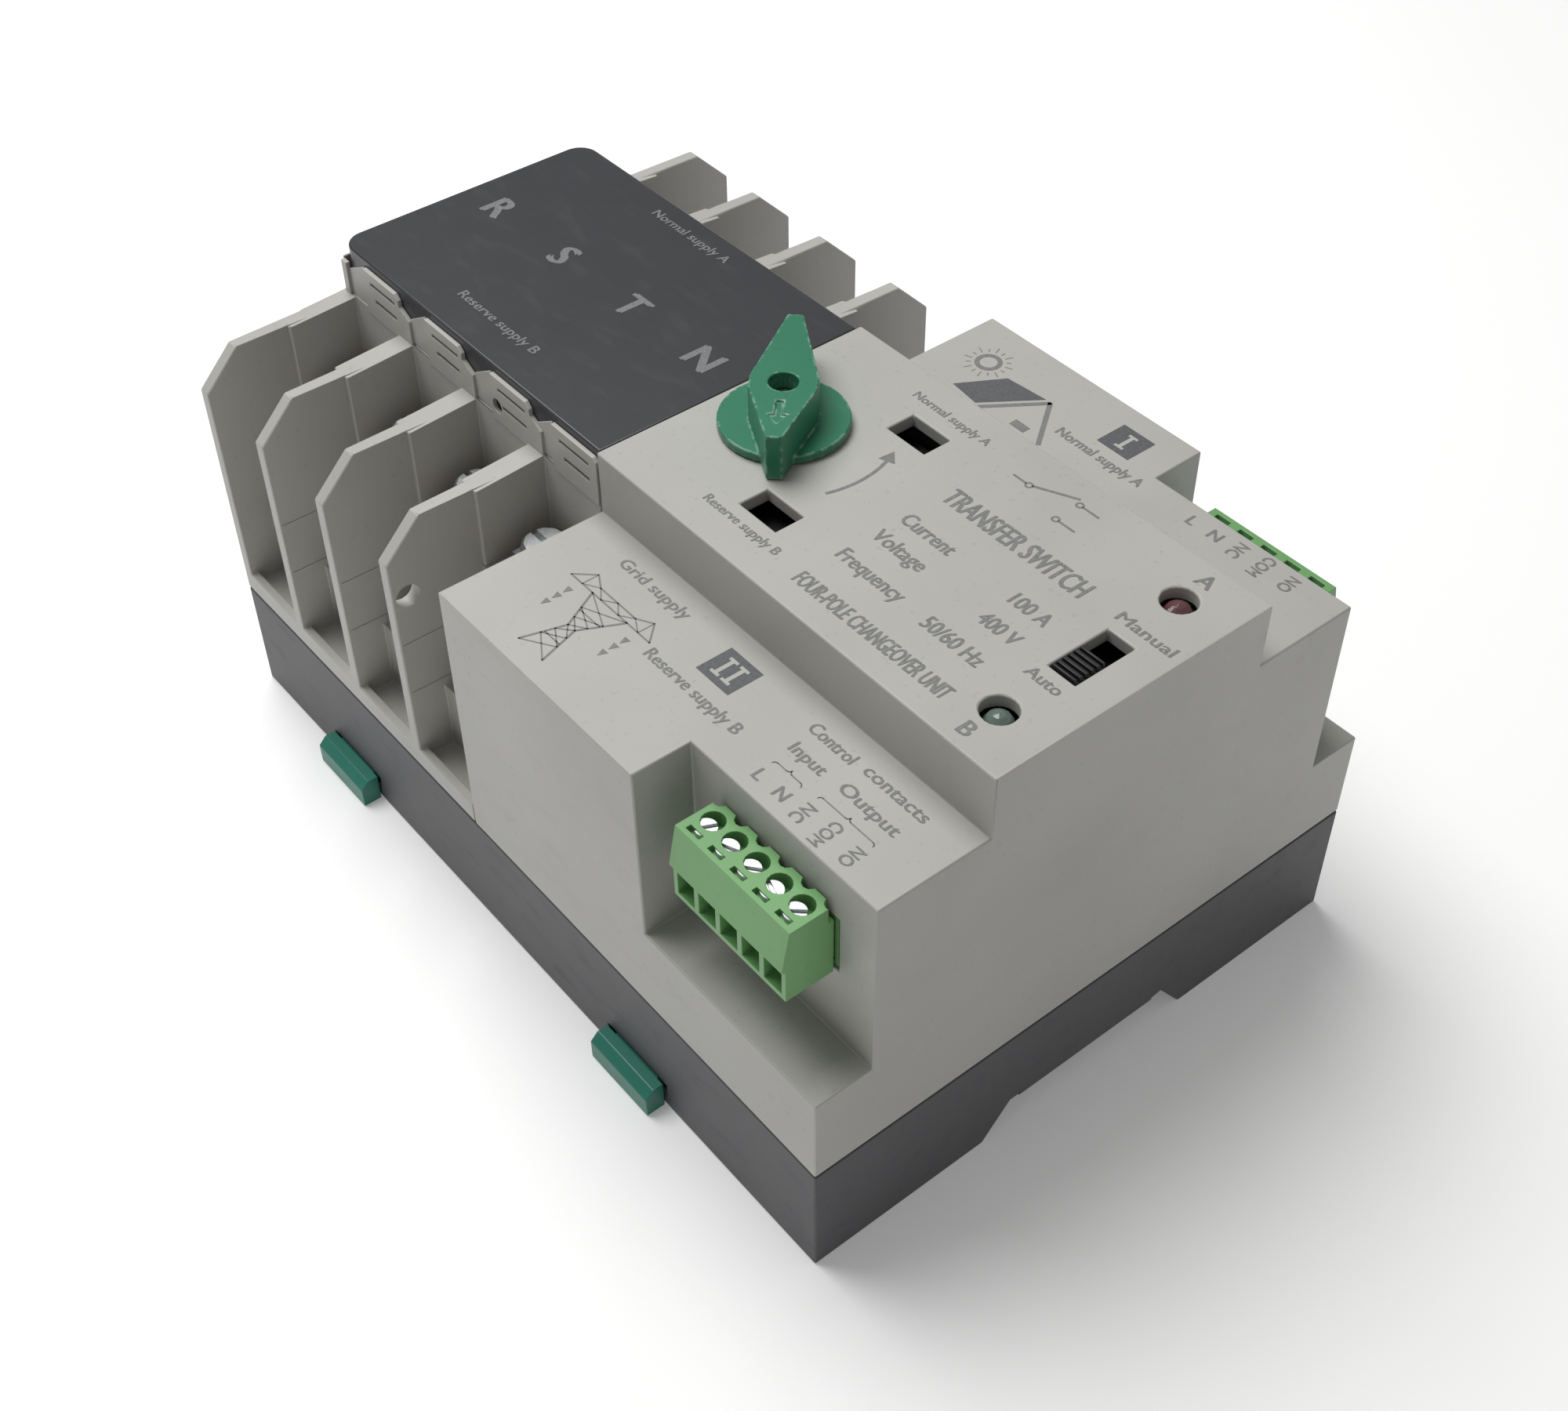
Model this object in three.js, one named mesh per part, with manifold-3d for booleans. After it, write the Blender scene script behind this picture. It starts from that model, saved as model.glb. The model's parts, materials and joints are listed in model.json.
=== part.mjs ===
// A rail-mounted four-pole transfer switch: two supplies come in on the long sides, and a handle or
// a pair of solenoids rocks the moving contacts from one supply to the other.
// Millimetres. X runs along the mounting rail, from the poles to the control unit. +Y is the side of
// supply A, -Y the side of supply B. Z is up from the rail seat, which is the plane Z = 0.

import * as THREE from "three";
import { mergeVertices } from "three/addons/utils/BufferGeometryUtils.js";
import Module from "manifold-3d";

const wasm = await Module();
wasm.setup();

// ---- driving dimensions ----

const GAP = 0.3; // between pieces that touch
const PAST = 1; // cutting shapes run this far past what they cut
const WALL = 2.2; // moulded walls
const WIDTH = 118;
const CONTROL_LENGTH = 92.9; // control unit, along X
const BASE_TOP = 17.6; // where the housings stand on the base
const PANEL_TOP = 83.3; // raised panel with the handle
const TIER_DROP = 11.9; // lower top of the control unit, below the panel
const PANEL_THICKNESS = 2.5;
const RAISED_WIDTH = 55.2;

const RAIL_WIDTH = 35;
const RAIL_PLAY = 0.8;
const RAIL_DEPTH = 6.5; // the base reaches this far below the rail seat
const BASE_WALL = 2.4;
const RECESS_FLARE = 5.2; // sloping sides of the rail recess
const LAND_WIDTH = 31; // raised seat that the rail's flanges touch
const LAND_HEIGHT = 0.5;
const HOOK_LENGTH = 8.1; // fixed hooks, from the rail's edge into the base
const CLIP_SPACING = 91.3;
const CLIP_CENTRE_X = -5.8;
const CLIP_WIDTH = 16;
const CLIP_REACH = 4; // finger tab beyond the base
const CLIP_THICKNESS = 2.2;
const CLIP_TOP = -1.4;
const CLIP_KEEL = 12; // narrower underside of the clip
const CLIP_KEEL_SETBACK = 6;
const CLIP_LEAD = 1.2; // sloping nose that lets the rail snap in
const CLIP_LEAD_DROP = 0.8;
const CLIP_TAB_RISE = 0.6;
const CLIP_TAB_SLOPE = 1.6;
const CLIP_SLOT_WIDTH = 8; // screwdriver slot under the clip
const CLIP_SLOT = [14, 30]; // its ends, from the base's edge
const CLIP_SLOT_DEPTH = 1.4;
const CLIP_LIFT = 0.2; // underside of the clip above the base's
const RAIL_GRIP = 1.5; // how far hooks and clips reach under the rail's edge

const POLES = ["r", "s", "t", "n"];
const POLE_PITCH = 20.6;
const LAST_RIB = 18.6; // middle of the last rib, from the control unit
const POLE_END = 0.8; // the pole unit's end wall reaches this far past the first rib's place
const RIB_THIN = 2.6;
const RIB_THICK = 4.4;
const RIB_STEP = 0.2; // a rib changes from thick to thin this far inside the upper shelf's edge
const RIB_DROP = 1; // ribs slope down this much from the chamber
const RIB_CHAMFER = 7.2;
const CHEST_WIDTH = 55.2; // contact chamber under the cover
const CHEST_HEIGHT = 17; // above the upper shelf, where the supply terminals are
const SHELF_STEP = 22; // from the upper shelf down to the load terminals
const SHELF_SETBACK = 7; // lower shelf, behind the ribs' outer edges
const LOWER_SHELF_DEPTH = 10.5;
const SILL_HEIGHT = 4.5;
const SILL_THICKNESS = 1.6;
const COVER_DROP = 0.3; // cover's top below the panel
const COVER_HEIGHT = 10;
const COVER_WIDTH = 53.8;
const COVER_CORNER = 4;

const SHAFT_DROP = 6; // shaft's axis below the upper shelf
const SHAFT_RADIUS = 4.5; // hexagon, across corners
const SHAFT_PLAY = 0.6;
const HUB_RADIUS = 7;
const BEARING = 2.5; // boss that carries the shaft's blind end
const ARM_LENGTH = 16;
const ARM_WIDTH = 3;
const ARM_THICKNESS = 8;
const PAD_RADIUS = 1.8;
const PAD_CLEARANCE = 0.4;
const BAR_WIDTH = 10;
const BAR_THICKNESS = 2;
const BAR_PLAY = 0.5; // beside a bar in its slot
const BAR_SETBACK = 1; // from the shelf's edge
const CONTACT_OVERLAP = 3; // fixed contacts rise this far past the moving ones
const SCREW_HEAD_RADIUS = 4.2;
const SCREW_HEAD_HEIGHT = 2.5;
const SCREW_RADIUS = 2.4;
const SCREW_LENGTH = 5.8;
const SCREW_EDGE = 0.6; // chamfer round the head
const SCREW_SLOT_WIDTH = 1.2;
const SCREW_SLOT_DEPTH = 1.3;
const SOURCE_SCREW_INSET = 7.5; // from the shelf's edge
const LOAD_SCREW_INSET = 5.5;
const SADDLE_SPACE = 2.2; // room for the clamping plate under a screw head

const KNOB_X = 13.3; // from the joint between pole and control unit
const KNOB_HEIGHT = 8.5;
const KNOB_DISC_RADIUS = 10.9;
const KNOB_DISC_THICKNESS = 1.5;
const KNOB_POINTER = 14.6;
const KNOB_TAIL = 18.8;
const KNOB_HALF_WIDTH = 5.6;
const KNOB_TIP = 1.3;
const KNOB_HOLE_RADIUS = 2.5;
const KNOB_WAIST = 1.5; // half length of the grip's widest stretch
const KNOB_FLOOR = 3.4; // under the hole for the handle's screw
const KNOB_SOCKET_DEPTH = 2.2;
const KNOB_REST_ANGLE = -45; // degrees from +X
const ARROW_TIP = 11; // engraved arrow, along the pointer
const ARROW_NECK = 8.6;
const ARROW_TAIL = 5;
const ARROW_HALF_WIDTH = 1.6;
const ARROW_SHAFT_HALF = 0.6;
const ENGRAVING = 0.4;
const KNOB_SCREW_HEAD_HEIGHT = 1.4;
const SPINDLE_RADIUS = 3.5;
const CRANK_RADIUS = 4.5;
const CRANK_PIN_RADIUS = 1.5;
const CRANK_DISC_RADIUS = 7;
const CRANK_DISC_DROP = 0.5; // below the underside of the panel
const CRANK_DISC_LIFT = 1; // above the slider
const KNOB_SCREW_TIP = 3; // the handle's screw ends this far above the crank disc's underside
const PIN_PLAY = 0.4; // round the crank pin, the lever's tip and the spindle
const SLIDER_DEPTH = 3.2; // below the underside of the panel
const SLIDER_THICKNESS = 2.4;
const LEVER_X = 6; // from the joint
const LEVER_LENGTH = 16.4;
const LEVER_THICKNESS = 3;
const LEVER_TIP_RADIUS = 2;
const FORK_WALL = 2;
const FORK_CLEARANCE = 0.11; // between the fork's ends and the leaning lever
const SLIDER_BRIDGE = 16; // width of the slider's middle
const SLIDER_POST = 6; // side of the post that reaches down to the plunger
const SLIDER_EYE_WALL = 2.2;
const FLAG_MARGIN = 1; // the flags reach past the windows along X
const WINDOW_X = 29; // indicator windows, from the joint
const WINDOW_Y = 15.1;
const WINDOW_LENGTH = 8.8;
const WINDOW_WIDTH = 5.6;

const PLUNGER_DROP = 10; // plunger's axis below the shaft's
const PLUNGER_RADIUS = 4;
const PLUNGER_LENGTH = 60;
const PLUNGER_PLAY = 0.5;
const COLLAR_HEIGHT = 1.5;
const COLLAR_END = 4.5;
const COIL_NEAR = 12;
const COIL_LENGTH = 22;
const COIL_RADIUS = 11;
const BOBBIN_WALL = 1;
const WINDING_DEPTH = 1.2; // the winding is this much below the bobbin's rims
const YOKE_THICKNESS = 1.5;
const YOKE_INSET = 1; // narrower than the coil at each side
const FRAME_THICKNESS = 2;
const FRAME_LEG = [3, 5];
const FRAME_LEG_INSET = 4; // from the rail recess's edge

const NOTCH_LENGTH = 41.5;
const NOTCH_DEPTH = 10.8;
const NOTCH_HEIGHT = 35.5; // below the lower top
const PLUG_FROM_END = 21.8;
const PLUG_PITCH = 5.08;
const PLUG_WAYS = 5;
const PLUG_END = 0.4; // wall past the outer ways
const PLUG_DROP = 6.5; // below the lower top
const PLUG_HEIGHT = 14.4;
const PLUG_DEPTH = 8.3;
const PLUG_LIP = 1.5;
const PLUG_LIP_HEIGHT = 7.5;
const PLUG_SKIRT = 0.8; // the front below the lip stands out this much
const PLUG_LIP_THICKNESS = 0.6;
const ENTRY_HALF = 2; // square wire entries
const ENTRY_DEPTH = 4;
const ENTRY_FLOOR = 0.9;
const ENTRY_DROP = 1.5; // below the lip
const DRIVER_HOLE_RADIUS = 1.95;
const DRIVER_HOLE_DEPTH = 3;
const DRIVER_HOLE_SHIFT = 0.6;
const TEST_SLOT = [3, 1, 1.2]; // small slot before each screw
const TEST_SLOT_INSET = 1.4;
const SCALLOP_RADIUS = 1.3;
const SCALLOP_SHIFT = 0.2;
const TONGUE_INSET = 0.8; // narrower than the plug at each end
const TONGUE_LIFT = 2; // above the plug's underside
const TONGUE_LENGTH = 7;
const TONGUE_HEIGHT = 8.2;
const HEADER_WALL = 0.9;
const HEADER_DEPTH = 9.5;

const LED_FROM_END = 9.6;
const LED_Y = 18;
const LED_RADIUS = 2.5;
const LED_RIM = 0.35;
const LED_RIM_HEIGHT = 1.2;
const LED_SINK = 0.7; // top of the dome below the panel
const LED_HOLE_RADIUS = 3;
const MODE_FROM_END = 9.1;
const MODE_WINDOW_X = 5.4;
const MODE_WINDOW_Y = 12;
const MODE_WINDOW_SHIFT = -0.5;
const MODE_TRAVEL = 5.4;
const MODE_PROUD = 0.4; // the slider stands above the panel
const MODE_SHOE = [3.6, 1, 1.6]; // half width, reach past the grip, thickness
const MODE_SHOE_DROP = 1.3; // below the underside of the panel
const MODE_GROOVES = 5;
const MODE_GROOVE_WIDTH = 0.5;
const MODE_GROOVE_DEPTH = 1;
const MODE_BODY = [4.2, 9.5]; // half sizes
const BOARD_DEPTH = 11.5; // component side, below the panel's top
const BOARD_THICKNESS = 1.6;
const BOARD_MARGIN = 0.8;
const BOARD_REACH = 3; // past the notch, towards the handle

const CASE_SCREW_RADIUS = 1.5;
const CASE_SCREW_HEAD = 3;
const CASE_SCREW_INSET = 7;
const CASE_SCREW_SINK = 2.2; // depth of the room for its head
const CASE_SCREW_END = 2; // tip below the housings' foot
const POST_SIZE = 8;
const BOSS_HEIGHT = 4.5;
const BOSS_RADIUS = 5;

const ROUND = 20; // sides of a round piece
const SMALL_ROUND = 12; // sides of a screw or a drilled hole

// ---- places worked out from the dimensions ----

const poleUnitLength = LAST_RIB + POLE_PITCH * (POLES.length - 1) + POLE_END;
const xRight = (poleUnitLength + CONTROL_LENGTH) / 2;
const xLeft = -xRight;
const xJoint = xLeft + poleUnitLength;
const xNotch = xRight - NOTCH_LENGTH;
const half = WIDTH / 2;
const raised = RAISED_WIDTH / 2;
const chest = CHEST_WIDTH / 2;
const notchWall = half - NOTCH_DEPTH;
const bottom = -RAIL_DEPTH;
const railHalf = (RAIL_WIDTH + RAIL_PLAY) / 2;
const panelUnder = PANEL_TOP - PANEL_THICKNESS;
const housingFoot = BASE_TOP + GAP;
const coverTop = PANEL_TOP - COVER_DROP;
const chestTop = coverTop - COVER_HEIGHT;
const ribTop = chestTop - RIB_DROP;
const upperShelf = chestTop - CHEST_HEIGHT;
const lowerShelf = upperShelf - SHELF_STEP;
const lowerShelfEdge = half - SHELF_SETBACK;
const upperShelfEdge = lowerShelfEdge - LOWER_SHELF_DEPTH;
const sourceScrewY = upperShelfEdge - SOURCE_SCREW_INSET;
const loadScrewY = lowerShelfEdge - LOAD_SCREW_INSET;
const shaftZ = upperShelf - SHAFT_DROP;
const plungerZ = shaftZ - PLUNGER_DROP;
const contactTop = shaftZ + ARM_LENGTH + CONTACT_OVERLAP;
const tierTop = PANEL_TOP - TIER_DROP;
const notchFloor = tierTop - NOTCH_HEIGHT;
const plugTop = tierTop - PLUG_DROP;
const plugBottom = plugTop - PLUG_HEIGHT;
const sliderTop = panelUnder - SLIDER_DEPTH;
const boardTop = PANEL_TOP - BOARD_DEPTH;
const plugLength = PLUG_PITCH * PLUG_WAYS + 2 * PLUG_END;
const ribCentres = POLES.map((_, i) => xJoint - LAST_RIB - POLE_PITCH * (POLES.length - 1 - i));
const poleCentres = ribCentres.map((x) => x + POLE_PITCH / 2);
const throwDistance = CRANK_RADIUS * Math.sin(THREE.MathUtils.degToRad(-KNOB_REST_ANGLE));
const rockAngle = Math.asin(throwDistance / LEVER_LENGTH);
const forkRoom = LEVER_TIP_RADIUS + PIN_PLAY - ARM_WIDTH / 2 - FORK_CLEARANCE;
const forkDepth = forkRoom / Math.tan(rockAngle); // below the middle of the lever's tip
const contactReach = ARM_LENGTH * Math.sin(rockAngle) + PAD_RADIUS + PAD_CLEARANCE;
const knobX = xJoint + KNOB_X;
const windowX = xJoint + WINDOW_X;
const leverX = xJoint + LEVER_X;
const modeX = xRight - MODE_FROM_END;
const plugX = xRight - PLUG_FROM_END;

// ---- shape helpers ----

// A box between two corners.
function box(x0, x1, y0, y1, z0, z1) {
  const shape = new THREE.BoxGeometry(x1 - x0, y1 - y0, z1 - z0);
  return shape.translate((x0 + x1) / 2, (y0 + y1) / 2, (z0 + z1) / 2);
}

// A round bar along "x", "y" or "z" from low to high, centred on the two other coordinates in order.
function bar(axis, radius, low, high, a = 0, b = 0, sides = ROUND) {
  const shape = new THREE.CylinderGeometry(radius, radius, high - low, sides);
  const middle = (low + high) / 2;
  if (axis === "x") return shape.rotateZ(-Math.PI / 2).translate(middle, a, b);
  if (axis === "y") return shape.translate(a, middle, b);
  return shape.rotateX(Math.PI / 2).translate(a, b, middle);
}

// A [y, z] outline carried along X.
function alongX(outline, x0, x1) {
  const shape = new THREE.Shape(outline.map(([y, z]) => new THREE.Vector2(y, z)));
  const solid = new THREE.ExtrudeGeometry(shape, { depth: x1 - x0, bevelEnabled: false });
  const turn = new THREE.Matrix4().makeBasis(
    new THREE.Vector3(0, 1, 0),
    new THREE.Vector3(0, 0, 1),
    new THREE.Vector3(1, 0, 0),
  );
  return solid.applyMatrix4(turn).translate(x0, 0, 0);
}

// An [x, y] outline, or a THREE.Shape, carried along Z.
function alongZ(outline, z0, z1, curveSegments = 6) {
  const points = Array.isArray(outline) ? outline.map(([x, y]) => new THREE.Vector2(x, y)) : null;
  const shape = points ? new THREE.Shape(points) : outline;
  const options = { depth: z1 - z0, bevelEnabled: false, curveSegments };
  return new THREE.ExtrudeGeometry(shape, options).translate(0, 0, z0);
}

// An [r, z] profile turned about Z.
function turned(profile, sides = ROUND) {
  const points = profile.map(([r, z]) => new THREE.Vector2(r, z));
  return new THREE.LatheGeometry(points, sides).rotateX(Math.PI / 2);
}

// The outline reflected in Y and joined to itself: [y, z] points from the middle outwards.
function bothSides(outline) {
  const mirrored = outline.map(([y, z]) => [-y, z]).reverse();
  return [...outline, ...mirrored];
}

function solid(geometry) {
  const plain = geometry.clone();
  plain.deleteAttribute("normal");
  plain.deleteAttribute("uv");
  const merged = mergeVertices(plain, 1e-4);
  const vertProperties = new Float32Array(merged.attributes.position.array);
  const triVerts = new Uint32Array(merged.index.array);
  return new wasm.Manifold(new wasm.Mesh({ numProp: 3, vertProperties, triVerts }));
}

function geometryOf(manifold) {
  const mesh = manifold.getMesh();
  const geometry = new THREE.BufferGeometry();
  geometry.setAttribute("position", new THREE.BufferAttribute(mesh.vertProperties, 3));
  geometry.setIndex(new THREE.BufferAttribute(mesh.triVerts, 1));
  return geometry;
}

function join(...shapes) {
  return shapes.map(solid).reduce((a, b) => a.add(b));
}

// The first list of shapes joined, with the second list cut away.
function carve(kept, cut) {
  return geometryOf(join(...kept).subtract(join(...cut)));
}

function fuse(...shapes) {
  return geometryOf(join(...shapes));
}

// ---- materials and placing ----

const finishes = {
  lightPlastic: { color: 0xb9b8b3, roughness: 0.55, metalness: 0 },
  darkPlastic: { color: 0x424346, roughness: 0.55, metalness: 0 },
  coverPlastic: { color: 0x2f3135, roughness: 0.4, metalness: 0 },
  knobGreen: { color: 0x2f7a5c, roughness: 0.45, metalness: 0 },
  plugGreen: { color: 0x5f9a58, roughness: 0.45, metalness: 0 },
  clipGreen: { color: 0x2f6e5c, roughness: 0.45, metalness: 0 },
  blackPlastic: { color: 0x1b1b1d, roughness: 0.4, metalness: 0 },
  copper: { color: 0xb87350, roughness: 0.35, metalness: 1 },
  zinc: { color: 0xc9cbcc, roughness: 0.3, metalness: 1 },
  steel: { color: 0x8f9295, roughness: 0.4, metalness: 1 },
  coilWire: { color: 0x8a4a22, roughness: 0.4, metalness: 0.6 },
  boardGreen: { color: 0x1f5a3a, roughness: 0.5, metalness: 0 },
  ledRed: { color: 0x7a1f22, roughness: 0.2, metalness: 0 },
  ledGreen: { color: 0x4c7a66, roughness: 0.2, metalness: 0 },
};

const assembly = new THREE.Group();

function place(name, geometry, finish, position = [0, 0, 0], turnZ = 0, parent = assembly) {
  const mesh = new THREE.Mesh(geometry, new THREE.MeshStandardMaterial(finishes[finish]));
  mesh.name = name;
  mesh.position.set(...position);
  mesh.rotation.z = turnZ;
  parent.add(mesh);
}

// ---- base ----

const clipCentres = [CLIP_CENTRE_X - CLIP_SPACING / 2, CLIP_CENTRE_X + CLIP_SPACING / 2];
const caseScrewPlaces = [
  [xLeft + CASE_SCREW_INSET, lowerShelfEdge - CASE_SCREW_INSET],
  [xLeft + CASE_SCREW_INSET, -lowerShelfEdge + CASE_SCREW_INSET],
  [xRight - CASE_SCREW_INSET, half - CASE_SCREW_INSET],
  [xRight - CASE_SCREW_INSET, -half + CASE_SCREW_INSET],
];
const bossTop = bottom + BOSS_HEIGHT;
const boreRadius = CASE_SCREW_RADIUS + GAP;

function baseTray() {
  const flareEnd = railHalf + RECESS_FLARE;
  const outer = bothSides([
    [LAND_WIDTH / 2, 0],
    [LAND_WIDTH / 2, LAND_HEIGHT],
    [railHalf, LAND_HEIGHT],
    [flareEnd, bottom],
    [half, bottom],
    [half, BASE_TOP],
  ]);
  const inside = bothSides([
    [railHalf, BASE_WALL],
    [flareEnd + BASE_WALL, bottom + BASE_WALL],
    [half - BASE_WALL, bottom + BASE_WALL],
    [half - BASE_WALL, BASE_TOP + PAST],
  ]);
  let tray = solid(alongX(outer, xLeft, xRight));
  tray = tray.subtract(solid(alongX(inside, xLeft + BASE_WALL, xRight - BASE_WALL)));
  const track = CLIP_WIDTH / 2 + GAP;
  const keel = CLIP_KEEL / 2 + GAP;
  const trackTop = CLIP_TOP + GAP;
  const trackFloor = CLIP_TOP - CLIP_THICKNESS - GAP;
  for (const x of clipCentres) {
    // The guide is walled above and beside the sliding clip, and open below along its keel.
    const guide = box(x - track - WALL, x + track + WALL, -half + PAST, -railHalf, bottom, trackTop + WALL);
    const slot = box(x - track, x + track, -half - PAST, -railHalf + PAST, trackFloor, trackTop);
    const groove = box(x - keel, x + keel, -half - PAST, -railHalf + PAST, bottom - PAST, trackFloor + GAP);
    const hookTip = RAIL_WIDTH / 2 - RAIL_GRIP;
    const hook = box(x - CLIP_WIDTH / 2, x + CLIP_WIDTH / 2, hookTip, hookTip + HOOK_LENGTH,
      CLIP_TOP - CLIP_THICKNESS, CLIP_TOP);
    tray = tray.add(solid(guide));
    tray = tray.subtract(join(slot, groove)).add(solid(hook));
  }
  for (const [x, y] of caseScrewPlaces) {
    tray = tray.add(solid(bar("z", BOSS_RADIUS, bottom, bossTop, x, y)));
    tray = tray.subtract(solid(bar("z", boreRadius, bottom - PAST, bossTop + PAST, x, y)));
    const headRoom = bar("z", CASE_SCREW_HEAD + GAP, bottom - PAST, bottom + CASE_SCREW_SINK, x, y);
    tray = tray.subtract(solid(headRoom));
  }
  return geometryOf(tray);
}

// A sliding clip, drawn about the middle of its width, with the rail on its +Y side.
function railClip() {
  const w = CLIP_WIDTH / 2;
  const k = CLIP_KEEL / 2;
  const tip = -RAIL_WIDTH / 2 + RAIL_GRIP;
  const plateFoot = CLIP_TOP - CLIP_THICKNESS;
  const plate = alongX(
    [[-half + PAST, plateFoot], [tip, plateFoot], [tip, CLIP_TOP - CLIP_LEAD_DROP],
      [tip - CLIP_LEAD, CLIP_TOP], [-half + PAST, CLIP_TOP]],
    -w, w,
  );
  const keelFoot = bottom + CLIP_LIFT;
  const keel = box(-k, k, -half + PAST, tip - CLIP_KEEL_SETBACK, keelFoot, plateFoot + GAP);
  const tabTop = CLIP_TOP + CLIP_TAB_RISE;
  const tab = alongX(
    [[-half - CLIP_REACH, bottom], [-half - GAP, bottom], [-half - GAP, tabTop],
      [-half - CLIP_REACH + CLIP_TAB_SLOPE, tabTop], [-half - CLIP_REACH, tabTop - CLIP_TAB_SLOPE]],
    -w, w,
  );
  const neck = box(-k, k, -half - PAST, -half + 2 * PAST, keelFoot, CLIP_TOP);
  const grip = box(-CLIP_SLOT_WIDTH / 2, CLIP_SLOT_WIDTH / 2, -half + CLIP_SLOT[0], -half + CLIP_SLOT[1],
    keelFoot - PAST, keelFoot + CLIP_SLOT_DEPTH);
  return carve([plate, keel, tab, neck], [grip]);
}

// ---- pole unit ----

function ribOutline(from, to) {
  const slopeFoot = ribTop - RIB_CHAMFER;
  const outline = [[from, housingFoot], [to, housingFoot]];
  if (to < half) return [...outline, [to, ribTop], [from, chestTop]];
  return [...outline, [half, slopeFoot], [half - RIB_CHAMFER, ribTop], [from, chestTop]];
}

function flip(outline) {
  return outline.map(([y, z]) => [-y, z]).reverse();
}

function poleHousing() {
  const xEnd = xJoint - GAP;
  const outer = bothSides([
    [chest, chestTop],
    [chest, upperShelf],
    [upperShelfEdge, upperShelf],
    [upperShelfEdge, lowerShelf],
    [lowerShelfEdge, lowerShelf],
    [lowerShelfEdge, housingFoot],
  ].reverse());
  const inside = bothSides([
    [chest - WALL, chestTop + PAST],
    [chest - WALL, upperShelf - WALL],
    [upperShelfEdge - WALL, upperShelf - WALL],
    [upperShelfEdge - WALL, lowerShelf - WALL],
    [lowerShelfEdge - WALL, lowerShelf - WALL],
    [lowerShelfEdge - WALL, housingFoot - PAST],
  ].reverse());
  const sill = [
    [lowerShelfEdge - WALL, housingFoot],
    [half, housingFoot],
    [half, housingFoot + SILL_HEIGHT],
    [half - SILL_THICKNESS, housingFoot + SILL_HEIGHT],
    [half - SILL_THICKNESS, housingFoot + WALL],
    [lowerShelfEdge - WALL, housingFoot + WALL],
  ];
  const ribStep = upperShelfEdge - RIB_STEP;
  let body = solid(alongX(outer, xLeft, xEnd));
  body = body.subtract(solid(alongX(inside, xLeft + RIB_THIN, xEnd + PAST)));
  for (const [i, x] of ribCentres.entries()) {
    const first = i === 0;
    const thinFrom = first ? xLeft : x - RIB_THIN / 2;
    const thickFrom = first ? xLeft : x - RIB_THICK / 2;
    const thickTo = first ? xLeft + (RIB_THIN + RIB_THICK) / 2 : x + RIB_THICK / 2;
    for (const side of [(o) => o, flip]) {
      body = body.add(solid(alongX(side(ribOutline(0, half)), thinFrom, thinFrom + RIB_THIN)));
      body = body.add(solid(alongX(side(ribOutline(chest - PAST, ribStep)), thickFrom, thickTo)));
    }
    const bossEnd = xLeft + RIB_THIN + BEARING;
    if (first) body = body.add(solid(bar("x", HUB_RADIUS, xLeft + PAST, bossEnd, 0, shaftZ)));
    const boreFrom = first ? xLeft + RIB_THIN : x - RIB_THICK;
    const boreTo = x + RIB_THICK + BEARING + PAST;
    body = body.subtract(solid(bar("x", SHAFT_RADIUS + SHAFT_PLAY, boreFrom, boreTo, 0, shaftZ)));
  }
  body = body.add(solid(alongX(sill, xLeft, xEnd))).add(solid(alongX(flip(sill), xLeft, xEnd)));
  const slotHalf = BAR_WIDTH / 2 + BAR_PLAY;
  const slotTop = BAR_THICKNESS + 2 * GAP;
  const hole = SCREW_RADIUS + GAP;
  for (const x of poleCentres) {
    for (const s of [1, -1]) {
      const edges = [s * (chest - WALL - PAST), s * (chest + PAST)].sort((a, b) => a - b);
      const slot = box(x - slotHalf, x + slotHalf, ...edges, upperShelf, upperShelf + slotTop);
      const drill = bar("z", hole, upperShelf - WALL - PAST, upperShelf + PAST, x, s * sourceScrewY,
        SMALL_ROUND);
      body = body.subtract(join(slot, drill));
    }
    const slot = box(x - slotHalf, x + slotHalf, -upperShelfEdge - PAST, -upperShelfEdge + WALL + PAST,
      lowerShelf, lowerShelf + slotTop);
    const drill = bar("z", hole, lowerShelf - WALL - PAST, lowerShelf + PAST, x, -loadScrewY, SMALL_ROUND);
    body = body.subtract(join(slot, drill));
  }
  for (const [x, y] of caseScrewPlaces.slice(0, 2)) {
    body = body.add(solid(screwPost(x, y, lowerShelf - WALL + GAP)));
    body = body.subtract(solid(bar("z", boreRadius, bossTop - PAST, housingFoot, x, y)));
  }
  return geometryOf(body);
}

function screwPost(x, y, top) {
  const r = POST_SIZE / 2;
  return box(x - r, x + r, y - r, y + r, bossTop + GAP, top);
}

function poleCover() {
  const w = COVER_WIDTH / 2;
  const xEnd = xJoint - GAP;
  const outline = (inset) => {
    const [x0, x1, y1, r] = [xLeft + inset, xEnd - inset, w - inset, COVER_CORNER - inset];
    const shape = new THREE.Shape();
    shape.moveTo(x1, -y1);
    shape.lineTo(x1, y1);
    shape.lineTo(x0 + r, y1);
    shape.absarc(x0 + r, y1 - r, r, Math.PI / 2, Math.PI, false);
    shape.absarc(x0 + r, -y1 + r, r, Math.PI, 1.5 * Math.PI, false);
    shape.closePath();
    return shape;
  };
  const shell = alongZ(outline(0), chestTop + GAP, coverTop);
  const inside = alongZ(outline(WALL), chestTop - PAST, coverTop - WALL);
  return carve([shell], [inside]);
}

// ---- contacts ----

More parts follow.
